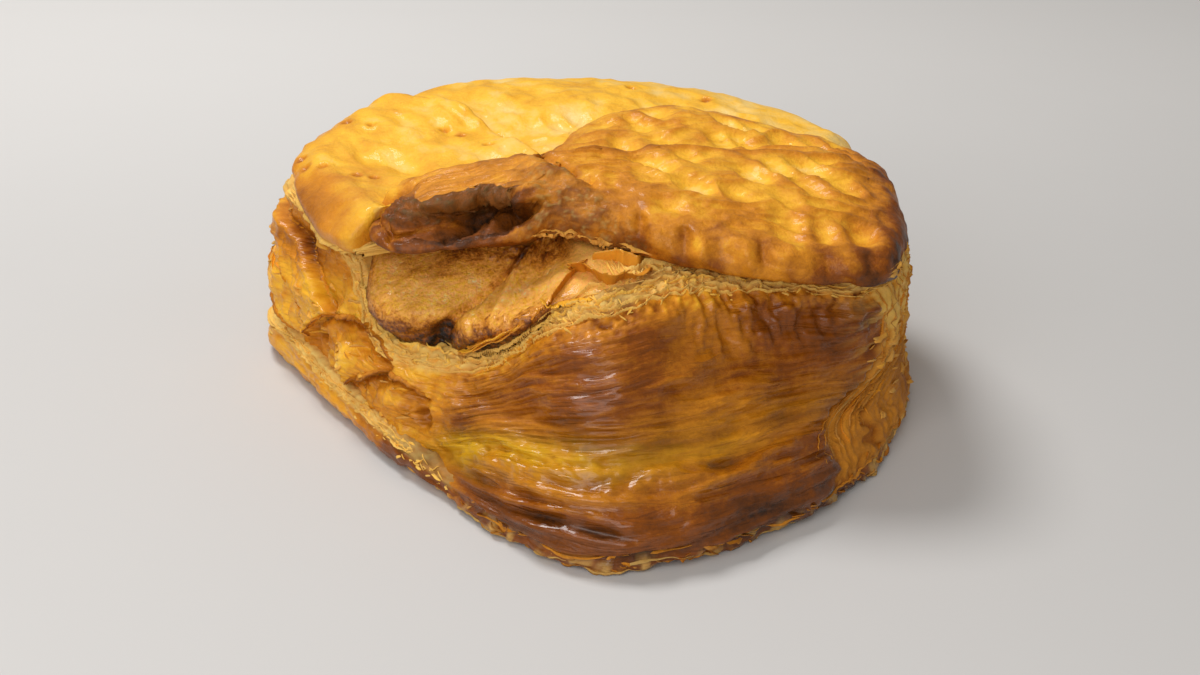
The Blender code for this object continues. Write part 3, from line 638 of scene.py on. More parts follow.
def left_face(angle, z):
    """How far the forms and the laps of the left face stand out of the wall."""
    pushed = np.zeros_like(z)
    for centre, height, reach, reach_up, slope, push in LEFT_FORMS:
        across = (z - height - slope * (angle - centre)) / reach_up
        pushed += push * np.exp(-(((angle - centre) / reach) ** 2 + across ** 2) ** 2)
    for push, pull, stations in LAPS:
        pushed += lapped(angle + 0.8 * noise(z / 2, angle / 5, 4.4), z, push, pull, stations)
    return pushed


def oval_edge(height):
    """Azimuth at which the glossy front panel ends on the right."""
    return 47 + 26 * step(height, 11, 23)


def layer_lines(x, y, z, gap, waver):
    """Edges of thin layers at even gaps, which waver up and down."""
    return ridged(x / 12, y / 12, z / gap + waver * noise(x / 6, y / 6, 2.2), 1)


def body_form():
    """The plain form of the body, column by column around its outline: a fold at the foot, a crease above it,
    a leaning wall and a ledge at the top. Returns it with its rows from ring to ring and the distance of
    each column along the outline."""
    columns = 640
    outline = closed_outline(BASE_OUTLINE, columns, 1.0)
    angle = azimuth(*outline.T)
    lean, top = around(angle, LEAN), around(angle, LEDGE_HEIGHT)
    crease, depth = around(angle, CREASE_HEIGHT), around(angle, CREASE_DEPTH)
    front, left = swell(angle, 18, 50), swell(angle, -78, 34)
    shoulder = 1 + 3 * front
    waist = shoulder + depth

    def at(inset, height):
        return ring(outline, BODY_CENTRE, inset, height)

    def wall(part, bulge):
        inset = waist + (np.maximum(lean, waist) - waist) * part - bulge
        return at(inset, crease + (top - crease) * part)

    rings = [pole(BODY_CENTRE, 0, columns),
             at(8, 0),
             at(1.6, 0.3),
             at(-0.8 * front, crease * 0.36),
             at(shoulder + 0.2, crease * 0.80),
             at(waist, crease + 0.3),
             wall(0.16, 0.3 * front + 1.8 * left),
             wall(0.50, 1.3 * front + 3.0 * left + 0.6),
             wall(0.85, 2.2 * front + 1.0 * left + 0.8),
             wall(1.00, -0.8),
             at(lean + 6, top + 0.6),
             pole(BODY_CENTRE, 34, columns)]
    counts = (2, 5, 11, 15, 12, 10, 30, 36, 18, 8, 4)
    return loft(rings, counts), counts, arc_length(outline)


def body_surface():
    """The tall body. Relief: long creases on the glossy front, which spread out from its left end and follow
    the crease and the ledge; laps, lumps and pockets on the left; upright strands beyond the panel's oval
    right edge; thin layers on the right and behind; and a crumpled foot."""
    smooth, counts, run = body_form()
    x, y, z = split(smooth)
    s = run + 0 * z
    angle = azimuth(x, y)
    over_ledge, over_crease = z - around(angle, LEDGE_HEIGHT), z - around(angle, CREASE_HEIGHT)
    up = np.clip(over_crease / (over_crease - over_ledge), 0, 1)

    # Where each kind of dough lies
    beyond = angle - oval_edge(z) - 5 * noise(z / 8, angle / 14, 3.9) - 2.5 * noise(z / 2.2, angle / 6, 8.9)
    strandy = step(beyond, -3, 3) * fall(angle, 96, 112) * step(z, 2, 5) * fall(over_ledge, -1, 0)
    panel = step(angle, -36, -24) * fall(beyond, -2, 1) * step(over_crease, -0.5, 1.5)
    fold = band(angle, -14, 60, 18) * fall(over_crease, -1.0, 1.0) * (1 - strandy)
    left = band(angle, -118, -36, 20) * step(over_crease, -1, 1)
    layered = fall(np.abs(wrap(angle - 158)), 84, 98) * step(z, 1, 4) * (1 - strandy)
    foot = fall(z, 2.0, 5.0)
    seam_width = 1.2 + 1.6 * step(-angle, 15, 45)
    seam = step(over_ledge, -seam_width - 0.8, -seam_width + 0.4) * fall(np.abs(wrap(angle)), 100, 120)
    fringe = hump(over_ledge, -2.0, 2.6) * panel
    oily = swell(angle, -12, 26) * hump(over_crease, 0.6, 2.9)

    # Patterns, by the distance along the wall on the front and by azimuth or place elsewhere
    flow = np.where(over_crease > 0, 28 * up, 15 * over_crease / (z - over_crease))
    flow += 0.9 * noise(s / 26, z / 9, 0.5)
    creases = ridged(s / 30, flow / 3.2, 4.2)
    silk = ridged(s / 17, flow / 1.3, 1.7)
    rolls = ridged(s / 26, flow / 2.9, 6.1)
    crinkles = fractal(s / 4, z / 1.7, 2.6, 2)
    swells = fractal(s / 26, (z - 0.1 * s) / 6.5, 3.3, 2)
    pleats = fractal(s / 4.5, z / 5, 9.1, 2) * step(angle, 20, 40) * step(up, 0.45, 0.75)
    strands = ridged(beyond / 2.4, z / 15, 7.7)
    fibres = ridged(angle / 9, (z + 0.12 * angle + 2.5 * noise(angle / 12, z / 7, 2.2)) / 1.6, 3.1)
    upright = ridged((angle + 0.25 * z + 2 * noise(angle / 9, z / 9, 5.2)) / 1.9, z / 16, 7.1)
    swirls = fibres + (upright - fibres) * swell(angle, -92, 10)
    lumps = ridged(angle / 9 + 0.5, z / 7, 1.3)
    bumps = fractal(angle / 5, z / 4, 6.3, 2)
    small = fractal(angle / 1.6, z / 1.4, 8.3, 2)
    leaf_edges = ridged(x / 26, y / 26, (z + 1.3 * noise(x / 18, y / 18, z / 9)) / 1.5, 1)
    ragged = fractal(x / 8, y / 8, z / 6)
    crumple = fractal(x / 3.2, y / 3.2, z / 2.4, 2)
    torn = fractal(x / 1.6, y / 1.6, z / 1.2, 2)

    # Relief
    wrinkled = 0.30 + 0.70 * np.maximum(fall(angle, -5, 22), fall(up, 0.35, 0.6))
    height = sizes().wrinkle_height / MM
    relief = panel * (height * wrinkled * (creases + 0.8 * silk) + 1.7 * swells + 1.82 * pleats)
    relief += fold * (height * (2.4 * rolls + 0.6 * silk) + 0.3 * crinkles) + 0.9 * oily * crinkles
    relief += strandy * (0.7 * strands + 0.3 * crinkles - 0.9 * hump(beyond, 1, 1.6))
    relief += left * (0.65 * swirls + 0.8 * lumps + 0.6 * bumps + 0.32 * small)
    pushed = left_face(angle, z)
    relief += pushed * step(over_crease, -1, 1) * (1 - seam)
    relief += layered * (0.45 * leaf_edges + 1.0 * ragged) + 0.7 * foot * crumple
    relief = relief * (1 - 0.6 * seam) + 0.35 * fringe * torn
    relief += seam * (0.8 + 0.35 * layer_lines(x, y, over_ledge, gap=1.1, waver=0.5) + 0.55 * torn)
    grid = raise_relief(smooth, relief * step(z, 0.2, 2) * fall(over_ledge, -0.3, 1.5))

    # How far each place is baked, with painted shade and painted highlights where the comments below say
    bake = 0.56 + 0.06 * fractal(x / 14 + 5, y / 14, z / 9, 3)
    darker = 0.11 + 0.08 * step(up, 0.20, 0.45) + 0.07 * step(angle, -12, 4) + 0.06 * hump(beyond, -4, 3)
    paler = 0.07 * band(angle, 22, 38, 10) + 0.10 * swell(angle, 34, 16) * step(up, 0.4, 0.7)
    # Painted highlights: the faint lighter band a third of the way up the front, and the lighter crests of
    # the fine wrinkles (silk)
    paler += 0.02 * hump(up, 0.32, 0.12) * step(angle, 8, 24) + 0.07 * silk * wrinkled
    bake += panel * (darker - paler)
    # On the lower fold the crests of the rolls are painted lighter, as painted highlights
    bake += fold * (0.17 + 0.16 * fall(over_crease, -9, -3) + 0.10 * step(angle, 10, 50) - 0.09 * rolls)
    # Painted shade: a darker band just above the crease across the front, under the belly's overhang
    bake += 0.10 * hump(over_crease, 3.6, 1.0) * band(angle, -12, 44, 8)
    bake += strandy * (0.10 - 0.24 * step(z, 14, 30) - 0.07 * strands)
    bake += left * (0.08 * swirls - 0.05 * lumps + 0.06 * small - 0.055 * pushed - 0.12)
    bake += 0.14 * swell(angle, -26, 9) * band(z, 7, 15, 3) + 0.20 * swell(angle, -94, 9) * hump(z, 32.5, 3.0)
    bake += layered * (0.10 * ragged - 0.06 * leaf_edges - 0.12)
    bake -= 0.14 * foot * step(crumple, 0.0, 0.6) + fringe * (0.17 + 0.22 * torn)

    # Dry layer edges, fat and gloss
    layer = seam * (0.55 + 0.35 * torn) + 0.35 * layered * step(leaf_edges, 0.35, 0.8)
    layer += 0.45 * foot * step(crumple, 0.0, 0.5)
    layer += strandy * (0.05 + 0.50 * step(z, 16, 28)) * step(strands, -0.2, 0.8)
    fat = oily * (0.50 + 0.35 * crinkles) + 0.18 * hump(over_crease, 1.2, 1.6) * band(angle, -20, 30, 12)
    fat += 0.10 * panel * hump(up, 0.16, 0.12) + 0.22 * swell(angle, -27, 8) * band(z, 8, 12, 2)
    fat += 0.5 * swell(angle, -80, 5) * hump(z, 27.5, 2.5)
    gloss = (0.58 + 0.25 * swells) * panel * fall(up, 0.85, 0.95) + 1.0 * fold + 0.45 * left
    marks = dough_marks(bake, layer, gloss * (1 - seam) * (1 - 0.8 * strandy), fat)
    return smooth, grid, marks | {"run": s, "flow": flow}, wall_rows(counts, 2, 10)


def middle_fold_surface():
    """The middle fold, tucked in above the ledge: two lobes at the front left with a cleft between them,
    and a recess that runs back under the flap."""
    columns = 520
    outline = closed_outline(BASE_OUTLINE, columns, 1.8)
    angle = azimuth(*outline.T)
    lean, top, roof = around(angle, LEAN), around(angle, LEDGE_HEIGHT), around(angle, MIDDLE_ROOF)
    recess = swell(angle, -30, 38)
    rise = roof - top

    def at(inset, height):
        return ring(outline, BODY_CENTRE, lean + inset, height)

    def lobed(inset, swelling, share, bend):
        """A ring whose lobes and cleft shift by bend degrees."""
        lobes = [np.exp(-np.abs(wrap(angle - middle - follow * bend) / reach) ** 3)
                 for middle, follow, reach in ((-58, 0.5, 16), (-24, 0.6, 14.5))]
        cleft = swell(angle, -40.5 + bend, 2.2)
        return at(inset - swelling * np.maximum(*lobes) + 4.0 * share * cleft, top + rise * share)

    rings = [pole(BODY_CENTRE, 16, columns),
             at(14, np.minimum(top - 9, 20)),
             at(2.6, top - 0.8),
             lobed(2.6, 6.2, 0.22, 1.5),
             lobed(4.2, 7.0, 0.45, 4.5),
             lobed(8.0 + 9 * recess, 4.0, 0.70, 8.0),
             at(9 + 12 * recess, top + rise * 0.90),
             at(14 + 10 * recess, roof),
             pole(BODY_CENTRE, 48, columns)]
    counts = (2, 4, 18, 20, 20, 16, 12, 6)
    smooth = loft(rings, counts)
    x, y, z = split(smooth)
    angle = azimuth(x, y)
    top, roof = around(angle, LEDGE_HEIGHT), around(angle, MIDDLE_ROOF)
    up = np.clip((z - top) / (roof - top), 0, 1)
    cleft = swell(angle, -40.5 + 11 * step(up, 0.1, 0.9), 1.9)
    lobes = band(angle, -74, -12, 6)
    grain = fractal(x / 1.3, y / 1.3, z / 1.3, 2)
    streaks = ridged((angle + 1.1 * z) / 4.2, 0.3, z / 30)
    streaked = swell(angle, -27 + 5 * up, 9) * step(up, 0.15, 0.5)
    relief = 0.38 * grain * lobes + 0.8 * fractal(x / 8, y / 8, z / 8, 2)
    relief += 0.9 * streaked * streaks - 2.1 * cleft
    grid = raise_relief(smooth, relief)

    # Painted shade: darker in the recess under the flap's lip (shaded); the darker lower side (low_side) is
    # partly the dough's own colour and partly painted shade where the lobes curve under
    low_side = fall(up + 0.14 * noise(x / 5, y / 5, z / 5), 0.20, 0.56)
    shaded = step(up + 0.06 * noise(x / 4, y / 4, z / 4), 0.62, 0.82)
    bake = 0.23 + 0.60 * low_side + 0.18 * fractal(x / 5, y / 5, z / 5, 2) + 0.36 * shaded
    # The streaks are darker in their troughs and lighter on their crests, partly pale dough and partly
    # painted shading; the cleft between the lobes is painted darker as shade
    bake += 0.12 * streaked * (0.5 - step(streaks, 0.2, 0.8)) + 0.20 * grain * lobes + 0.16 * cleft
    bake += 0.05 * swell(angle, -22, 12)
    opening = band(angle, 2, 60, 10)
    bake += (0.32 + 0.08 * grain - bake) * opening
    marks = dough_marks(bake, 0.35 * opening, 0.55 + 0.30 * low_side - 0.3 * opening)
    return smooth, grid, marks, wall_rows(counts, 2, 7)


def top_height(x, y):
    """Height of the top sheet's upper face."""
    height = 53.2 + 2.0 * mound(x, y, (0, 44), (46, 16)) - 1.6 * mound(x, y, (-8, 26), (22, 9))
    height = height - 3.6 * mound(0.72 * x + 0.69 * y, 0.72 * y - 0.69 * x, (-32, 42), (26, 44))
    return height - 6 * step(0.25 * x - y, -12, 8) * step(x, -46, -30)


def lay_crown(smooth, first, last, height):
    """Brings a surface to the height of its upper face, smoothly between the two given rows."""
    x, y, z = split(smooth)
    crown = step(np.arange(len(smooth)), first, last)[:, None]
    smooth[..., 2] = z * (1 - crown) + crown * height(x, y)


def top_surface():
    """The top sheet: a slab with a rounded edge. Relief: slanting creases, blisters, docking pits and the
    step of the left lobe's fold line."""
    columns = 520
    outline = closed_outline(TOP_OUTLINE, columns)
    angle = azimuth(*outline.T)
    low, high = around(angle, TOP_LOWER_EDGE), top_height(*outline.T)
    sag = swell(angle, -76, 22)

    def at(inset, height):
        return ring(outline, TOP_CENTRE, inset, height)

    rings = [pole(TOP_CENTRE, 42, columns),
             at(12, 43),
             at(2.5, low),
             at(-0.5, low + (high - low) * 0.36),
             at(1.6 + 2.5 * sag, low + (high - low) * 0.74),
             at(6.5 + 3 * sag, high - 0.1),
             pole(TOP_CENTRE, 53, columns)]
    counts = (2, 8, 10, 12, 12, 130)
    shoulder_row = sum(counts[:5])
    smooth = loft(rings, counts)
    lay_crown(smooth, shoulder_row - 9, shoulder_row + 34, top_height)
    x, y, z = split(smooth)
    edge = signed_distance(x, y, LOBE_EDGE)
    shown = step(-x, 4, 14)
    creases = ridged((x + 0.8 * y + 2.5 * noise(x / 14, y / 14, 1)) / 10, (y - 0.6 * x) / 26, z / 12, 1)
    waves = fractal((x + y) / 14, (y - x) / 24, z / 20, 2)
    blisters = fractal(x / 6, y / 6, 4.2, 2)
    pillows = quilt(1.15 * x + 60, 1.15 * y - 20)
    puckers = ridged(x / 5, y / 5, z / 9, 1)
    inwards = step(np.arange(len(smooth)), shoulder_row + 2, shoulder_row + 50)[:, None]
    calmer = (0.45 + 0.55 * inwards) * (1 - 0.5 * step(y, 25, 50))
    relief = calmer * (1.2 * waves + 0.8 * creases + 0.45 * blisters - 0.8 * pillows) + 0.22 * puckers
    relief -= 2.2 * step(edge, -0.6, 0.9) * np.exp(-np.clip(edge, 0, None) / 16) * shown
    relief += 0.8 * hump(edge, -1.5, 2) * shown
    pits = np.zeros_like(x)
    for pit_x, pit_y in DOCKING_PITS:
        away = np.hypot(x - pit_x, y - pit_y)
        relief += 0.25 * hump(away, 1.6, 0.7) - sizes().pit_depth / MM * hump(away, 0, 0.9)
        pits = np.maximum(pits, hump(away, 0, 1.1))
    grid = raise_relief(smooth, relief * step(z, 40, 46))

    bake = 0.23 + 0.05 * fractal(x / 11, y / 11, 2, 3) + 0.18 * fall(z, 44, 51) + 0.04 * fall(z, 40.5, 44)
    bake += 0.34 * pits + 0.06 * creases - 0.08 * waves - 0.09 * pillows + 0.04 * puckers
    bake += 0.10 * mound(x, y, (-57, -8), (14, 14)) + 0.08 * step(-x, 38, 60) - 0.05 * step(x, 0, 40)
    bake += 0.10 * hump(edge, 0, 0.9) * shown
    marks = dough_marks(bake, 0.5 * fall(z, 40, 43.5), 0.30 + 0.2 * mound(x, y, (-45, -14), (14, 12)))
    return smooth, grid, marks, wall_rows(counts, 2, 5)


def flap_height(x, y):
    """Height of the flap's upper face: a crest along the front half, a dip, and a rear crest behind it."""
    crest, height, rear = along(x, CREST_PLACE), along(x, CREST_HEIGHT), along(x, REAR_HEIGHT)
    before = np.clip((crest - y) / 30, 0, None)
    behind = np.clip((y - crest) / (REAR_PLACE - crest), 0, 1)
    past = np.clip((y - REAR_PLACE) / 9, 0, None)
    depth = 2.8 * fall(x, 42, 50) + 1.4 * fall(x, -14, 2)
    dip = depth * (1 - np.exp(-np.clip(y - crest, 0, None) / 2.4)) * (1 - behind) ** 1.3
    return height - 3.4 * before ** 2 + (rear - height) * behind ** 1.3 - dip - 4.5 * past ** 1.5


def quilt(x, y):
    """Slanting oval dimples in jittered cells: 1 in the middle of each and 0 on the ridges between."""
    bent_x = x + 2.5 * noise(x / 16, y / 16, 3.3)
    bent_y = y + 2.5 * noise(x / 16, y / 16, 8.1)
    turn = np.radians(-50)
    lengthways = (bent_x * np.cos(turn) + bent_y * np.sin(turn)) / 13.0
    sideways = (bent_y * np.cos(turn) - bent_x * np.sin(turn)) / 7.6
    away, own = cells(lengthways, sideways, 5)
    return fall(away, 0.10, 0.46 + 0.16 * own) * (0.45 + 0.55 * own)


def upper_mouth(angle):
    """1 where the upper lip stands over the open mouth."""
    return step(angle, -72, -64) * fall(angle, -33, -24)


def flap_form():
    """The plain form of the flap. Its front lip is knuckled, and towards the left end the lip opens into a
    hollow mouth: the profile runs over a lower lip, back into the hollow, up its far wall and out again over
    the burnt edge of the upper lip. At the left end the lips close to a rolled point."""
    columns = 540
    outline = closed_outline(FLAP_OUTLINE, columns, 0.9)
    x, y = outline.T
    angle = azimuth(x, y)
    spine = np.c_[x * 0.72 + 4.5, -9 - 8 * step(-x, 0, 35)]
    reach = np.linalg.norm(spine - outline, axis=1)
    inwards = (spine - outline) / reach[:, None]

    def at(inset, height):
        spot = outline + inwards * np.minimum(np.broadcast_to(inset, reach.shape), 0.85 * reach)[:, None]
        return np.c_[spot, np.broadcast_to(height, reach.shape)]

    low = around(angle, FLAP_LOWER_EDGE)
    high = flap_height(*(outline + inwards * 9.5).T)
    tall = high - low
    mouth, upper = step(angle, -72, -64) * fall(angle, -28, -14), upper_mouth(angle)
    wide = along(angle, MOUTH_WIDTH)
    depth = 2.4 + (tall - 2.4) * step(angle, -69, -60)
    roll = np.maximum(0.8 * swell(angle, -45, 4), 0.7 * swell(angle, -33, 3))
    lumps = np.abs(np.cos(np.radians(angle + 3.5 * noise(angle / 9, 2.3, 0.1) - 1) * 180 / 7.6)) ** 1.2
    uneven = sizes().knuckle_height / MM * (0.7 + 0.7 * noise(angle / 6, 0.3, 0.5))
    knuckle = uneven * band(angle, 20, 56, 7) * (2 * lumps - 1.2)
    thick = swell(angle, 2, 15)
    torn_back = 0.9 * noise(angle / 5, 1.3, 0.2) * wide - 6.5 * step(angle, -42, -28)

    def mixed(plain, opened, share=upper):
        return plain * (1 - share) + opened * share

    def lips(closed, hollow):
        return closed * (1 - wide) + hollow * wide

    # Rings 3 to 5 are the lower lip, 6 to 9 the hollow, 10 and 11 the upper lip and 12 the shoulder
    rim = at(mixed(10.5, lips(10.6, 15.5) + torn_back), 0)
    rings = [pole(FLAP_CENTRE, 44, columns),
             at(15, 44),
             at(4.5, low + 0.8),
             at(mixed(0.7, 0.9, mouth), low),
             at(mixed(-0.3, 0.5, mouth) - 0.5 * knuckle - 0.8 * thick, low + mixed(tall * 0.32, 0.7, mouth)),
             at(mixed(0.2, 1.4, mouth) - 0.8 * knuckle - thick, low + mixed(tall * 0.50, 1.3, mouth)),
             at(mixed(0.8, 2.8, mouth) - knuckle - 0.5 * thick,
                low + mixed(tall * 0.64, lips(1.0, 0.6 + roll), mouth)),
             at(mixed(1.6, lips(4.2, 12.0 - 5.0 * roll), mouth) - knuckle,
                low + mixed(tall * 0.75, lips(1.6, 0.2 + 3 * roll), mouth)),
             at(mixed(2.6, lips(4.4, 18.0 - 6.0 * roll)) - 0.5 * knuckle,
                low + mixed(tall * 0.84, lips(0.40, 0.35) * depth)),
             at(mixed(4.0, lips(5.2, 18.0 - 3.0 * roll)) - 0.2 * knuckle,
                low + mixed(tall * 0.91, 0.58 * depth)),
             at(mixed(6.0, lips(6.8, 15.4) + torn_back), low + mixed(tall * 0.96, lips(0.76, 0.70) * depth)),
             at(mixed(8.0, lips(8.6, 13.8) + torn_back), low + mixed(tall - 0.2, lips(0.90, 0.86) * depth)),
             np.c_[rim[:, :2], flap_height(*rim[:, :2].T)],
             pole(FLAP_CENTRE, 59, columns)]
    counts = (2, 5, 6, 7, 7, 8, 12, 12, 9, 10, 9, 6, 84)
    smooth = loft(rings, counts)
    lay_crown(smooth, sum(counts[:12]) - 3, sum(counts[:12]) + 6, flap_height)
    return smooth, counts, (angle, mouth, wide, roll, knuckle)


def flap_surface():
    """The flap folded over the top. Relief: rows of dimples between fine folds, a grainy crust behind the
    lip, stripes in the hollow of the mouth and crumbs on its burnt edge."""
    smooth, counts, (angle, mouth, wide, roll, knuckle) = flap_form()
    x, y, z = split(smooth)
    row = np.arange(len(smooth))[:, None]
    row_of = np.r_[0, np.cumsum(counts)]
    shoulder_row = row_of[12]
    inside = band(row, row_of[5] + 2, row_of[10] - 2, 4) * mouth * wide
    burnt = np.clip(1.1 * swell(angle, -54, 6) + 0.95 * band(angle, -46, -30, 5), 0, 1)
    burnt = burnt * band(row, row_of[9] - 2, shoulder_row, 5)
    upper = step(row, row_of[9], shoulder_row) * (1 - inside)
    hollow = mouth * step(row, row_of[4], row_of[6]) * fall(row, row_of[11], shoulder_row)
    lower_lip = mouth * band(row, row_of[3], row_of[6], 2)
    from_crest = y - along(x, CREST_PLACE)
    ridge = hump(from_crest, 0, 2.2)
    dimples = quilt(x, y) * step(x, -4, 8) * step(1.05 * x + y, -22, -10) * (1 - ridge)
    rough = fractal(x / 5, y / 5, z / 5)
    crumbs = fractal(x / 1.4, y / 1.4, z / 1.4, 2)
    folds = ridged((x + 0.5 * y) / 11, (y - 0.4 * x) / 4.5, z / 7)
    stripes = ridged((angle + 1.5 * z + 4 * noise(x / 5, y / 5, z / 5)) / 4.0, 0.2, z / 12)
    strands = ridged(x / 14, from_crest / 2.4, z / 20) * step(-x, -24, -4) * upper
    behind_lip = y + 1.05 * x + 21 + 1.5 * rough
    crust = fall(behind_lip, -4, 1) * step(x, -18, -6) * (1 - inside)
    relief = upper * (0.55 * folds * (1 - dimples) - sizes().dimple_depth / MM * dimples) * (1 - 0.6 * crust)
    relief += band(x, -11, 12, 5) * upper * (1.5 * hump(behind_lip, -6, 4) - 1.9 * hump(behind_lip, 0, 1.5))
    relief += 0.35 * strands * fall(from_crest, 0, 2) + 0.5 * fractal(x / 10, y / 8, z / 9)
    relief += 0.4 * (1 - upper) * rough * (1 - hollow) + hollow * (0.9 * stripes + 0.3 * crumbs)
    relief += crust * (0.4 * crumbs + 0.5 * rough) + 0.35 * burnt * crumbs
    grid = raise_relief(smooth, relief)

    right_end = step(x + 0.1 * np.abs(y), 54, 71)
    upper_lip = step(-x, 2, 14) * upper
    underneath = fall(z - around(angle, FLAP_LOWER_EDGE), 1.5, 6)
    bake = 0.34 + 0.09 * step(-y, 14, 36) + 0.27 * right_end + 0.05 * step(x, 36, 58) + 0.03 * fall(z, 44, 49)
    bake += 0.11 * folds + 0.08 * fractal(x / 9, y / 9, 1) - 0.24 * dimples + 0.05 * strands
    # Painted highlight and shade: the knuckles of the lip are painted lighter on the lumps and darker between
    # them
    bake += (1 - upper) * (0.08 + 0.06 * rough - 0.05 * np.clip(knuckle, -1, 1)) + 0.03 * upper_lip
    bake += 0.14 * crust * (1 + 0.8 * crumbs) + 0.14 * ridge * step(x, -40, -8)
    bake += 0.16 * upper_mouth(angle) * fall(row, shoulder_row - 3, shoulder_row + 5)
    # Painted shade: the lip is darker up to about 6 mm above its lower edge on the front right, as shade on
    # its rounded underside
    bake += 0.12 * underneath * band(angle, 12, 54, 8)
    # The hollow of the mouth is painted near black: partly burnt dough and partly painted shade in the hollow
    bake += inside * (1.00 + 0.05 * rough - 0.10 * roll - 0.10 * stripes - bake)
    bake += burnt * (0.86 + 0.12 * crumbs - bake)
    bake += lower_lip * (0.08 * stripes - 0.03 + 0.04 * wide)
    layer = 0.03 * upper_lip + (crust + 0.2 * burnt) * (0.04 + 0.26 * step(crumbs, 0.15, 0.6))
    gloss = (0.30 - 0.10 * right_end - 0.15 * crust - 0.15 * upper_lip) * (1 - 0.7 * hollow)
    marks = dough_marks(np.minimum(bake, 0.94), layer, np.clip(gloss, 0, 1))
    return smooth, grid, marks, wall_rows(counts, 2, 5)


def tier_surface():
    """The thin tier under the body: it shows on the left and behind, and sinks away at the front."""
    columns = 600
    outline = closed_outline(BASE_OUTLINE, columns, 0.4)
    angle = azimuth(*outline.T)
    shown = fall(angle, -28, -2) + step(angle, 95, 125)
    height = around(angle, TIER_HEIGHT)

    def at(inset, height):
        return ring(outline, BODY_CENTRE, inset, height)

    rings = [pole(BODY_CENTRE, 0.6, columns),
             at(8, 0.6),
             at(1.9, 0.8),
             at(0.8 - 1.8 * shown, 0.8 + height * 0.30),
             at(1.1 - 1.6 * shown, 0.8 + height * 0.68),
             at(1.6 - 0.6 * shown, height + 0.3),
             at(3.4, height + 0.3),
             at(12, np.maximum(height - 1, 1)),
             pole(BODY_CENTRE, 3, columns)]
    counts = (2, 5, 9, 12, 12, 6, 6, 2)
    smooth = loft(rings, counts)
    x, y, z = split(smooth)
    angle = azimuth(x, y)
    top = around(angle, TIER_HEIGHT)
    seam = step(z - top, -0.18 * top - 0.7, -0.18 * top + 0.3)
    rough = fractal(x / 8, y / 8, z / 5)
    veins = ridged((x - y) / 12, (x + y) / 12, z / 1.7)
    torn = fractal(x / 1.6, y / 1.6, z / 1.2, 2)
    relief = (0.7 * rough + 0.45 * veins) * (1 - seam)
    relief += seam * (0.3 + 0.3 * layer_lines(x, y, z - top, gap=0.9, waver=0.4) + 0.45 * torn)
    grid = raise_relief(smooth, relief * step(z, 0.8, 2.5))

    browned = swell(angle, -30, 19)
    bake = 0.48 + 0.10 * rough - 0.05 * veins + 0.08 * fall(z, 1, 4) + 0.20 * browned
    bake += 0.20 * band(angle, -42, 20, 24)
    marks = dough_marks(bake, seam * (0.8 + 0.3 * torn) * (1 - 0.7 * browned), 0.6 * (1 - seam))
    return smooth, grid, marks | {"run": arc_length(outline), "flow": z}, wall_rows(counts, 2, 5)


class Wall:
    """Finds the point and the outward direction on a fold's wall at an azimuth and a height. The place is
    looked up on the smooth surface, where the height grows from row to row between the two given rows, and
    the point is read from the surface with its relief."""

    def __init__(self, smooth, relieved, rows):
        angles = azimuth(*split(smooth[sum(rows) // 2])[:2])
        order = np.argsort(angles)
        self.count = len(order)
        self.angles = angles[order]
        self.smooth = smooth[rows[0]:rows[1], order]
        self.relieved = relieved[rows[0]:rows[1], order]
        self.outward = normals(smooth)[rows[0]:rows[1], order]

    def __call__(self, angle, height):
        keys = np.r_[self.angles[-1] - 360, self.angles, self.angles[0] + 360]
        column = np.interp(wrap(angle), keys, np.arange(-1, self.count + 1))
        left = np.floor(column).astype(int)
        share = (column - left)[..., None]
        left, right = left % self.count, (left + 1) % self.count
        rises = self.smooth[:, left, 2]
        row = np.clip((rises < height).sum(0) - 1, 0, len(rises) - 2)
        low, high = self.smooth[row, left, 2], self.smooth[row + 1, left, 2]
        part = np.clip((height - low) / (high - low + 1e-9), 0, 1)[..., None]

        def read(surface):
            below = surface[row, left] * (1 - share) + surface[row, right] * share
            above = surface[row + 1, left] * (1 - share) + surface[row + 1, right] * share
            return below * (1 - part) + above * part

        outward = read(self.outward)
        return read(self.relieved), outward / np.linalg.norm(outward, axis=-1)[..., None]


def sheets(centre, facing, thickness):
    """Closed thin sheets around their middle surfaces, arrays (sheet, along, across, 3): one face on each
    side, half the thickness away along the facing direction, and both ends drawn together to a point."""
    offset = facing * thickness[..., None] / 2
    section = np.concatenate([centre + offset, (centre - offset)[..., ::-1, :]], axis=-2)
    points = [section[:, k].mean(1)[:, None, None] + 0 * section[:, :1] for k in (0, -1)]
    return np.concatenate([points[0], section, points[1]], axis=1)


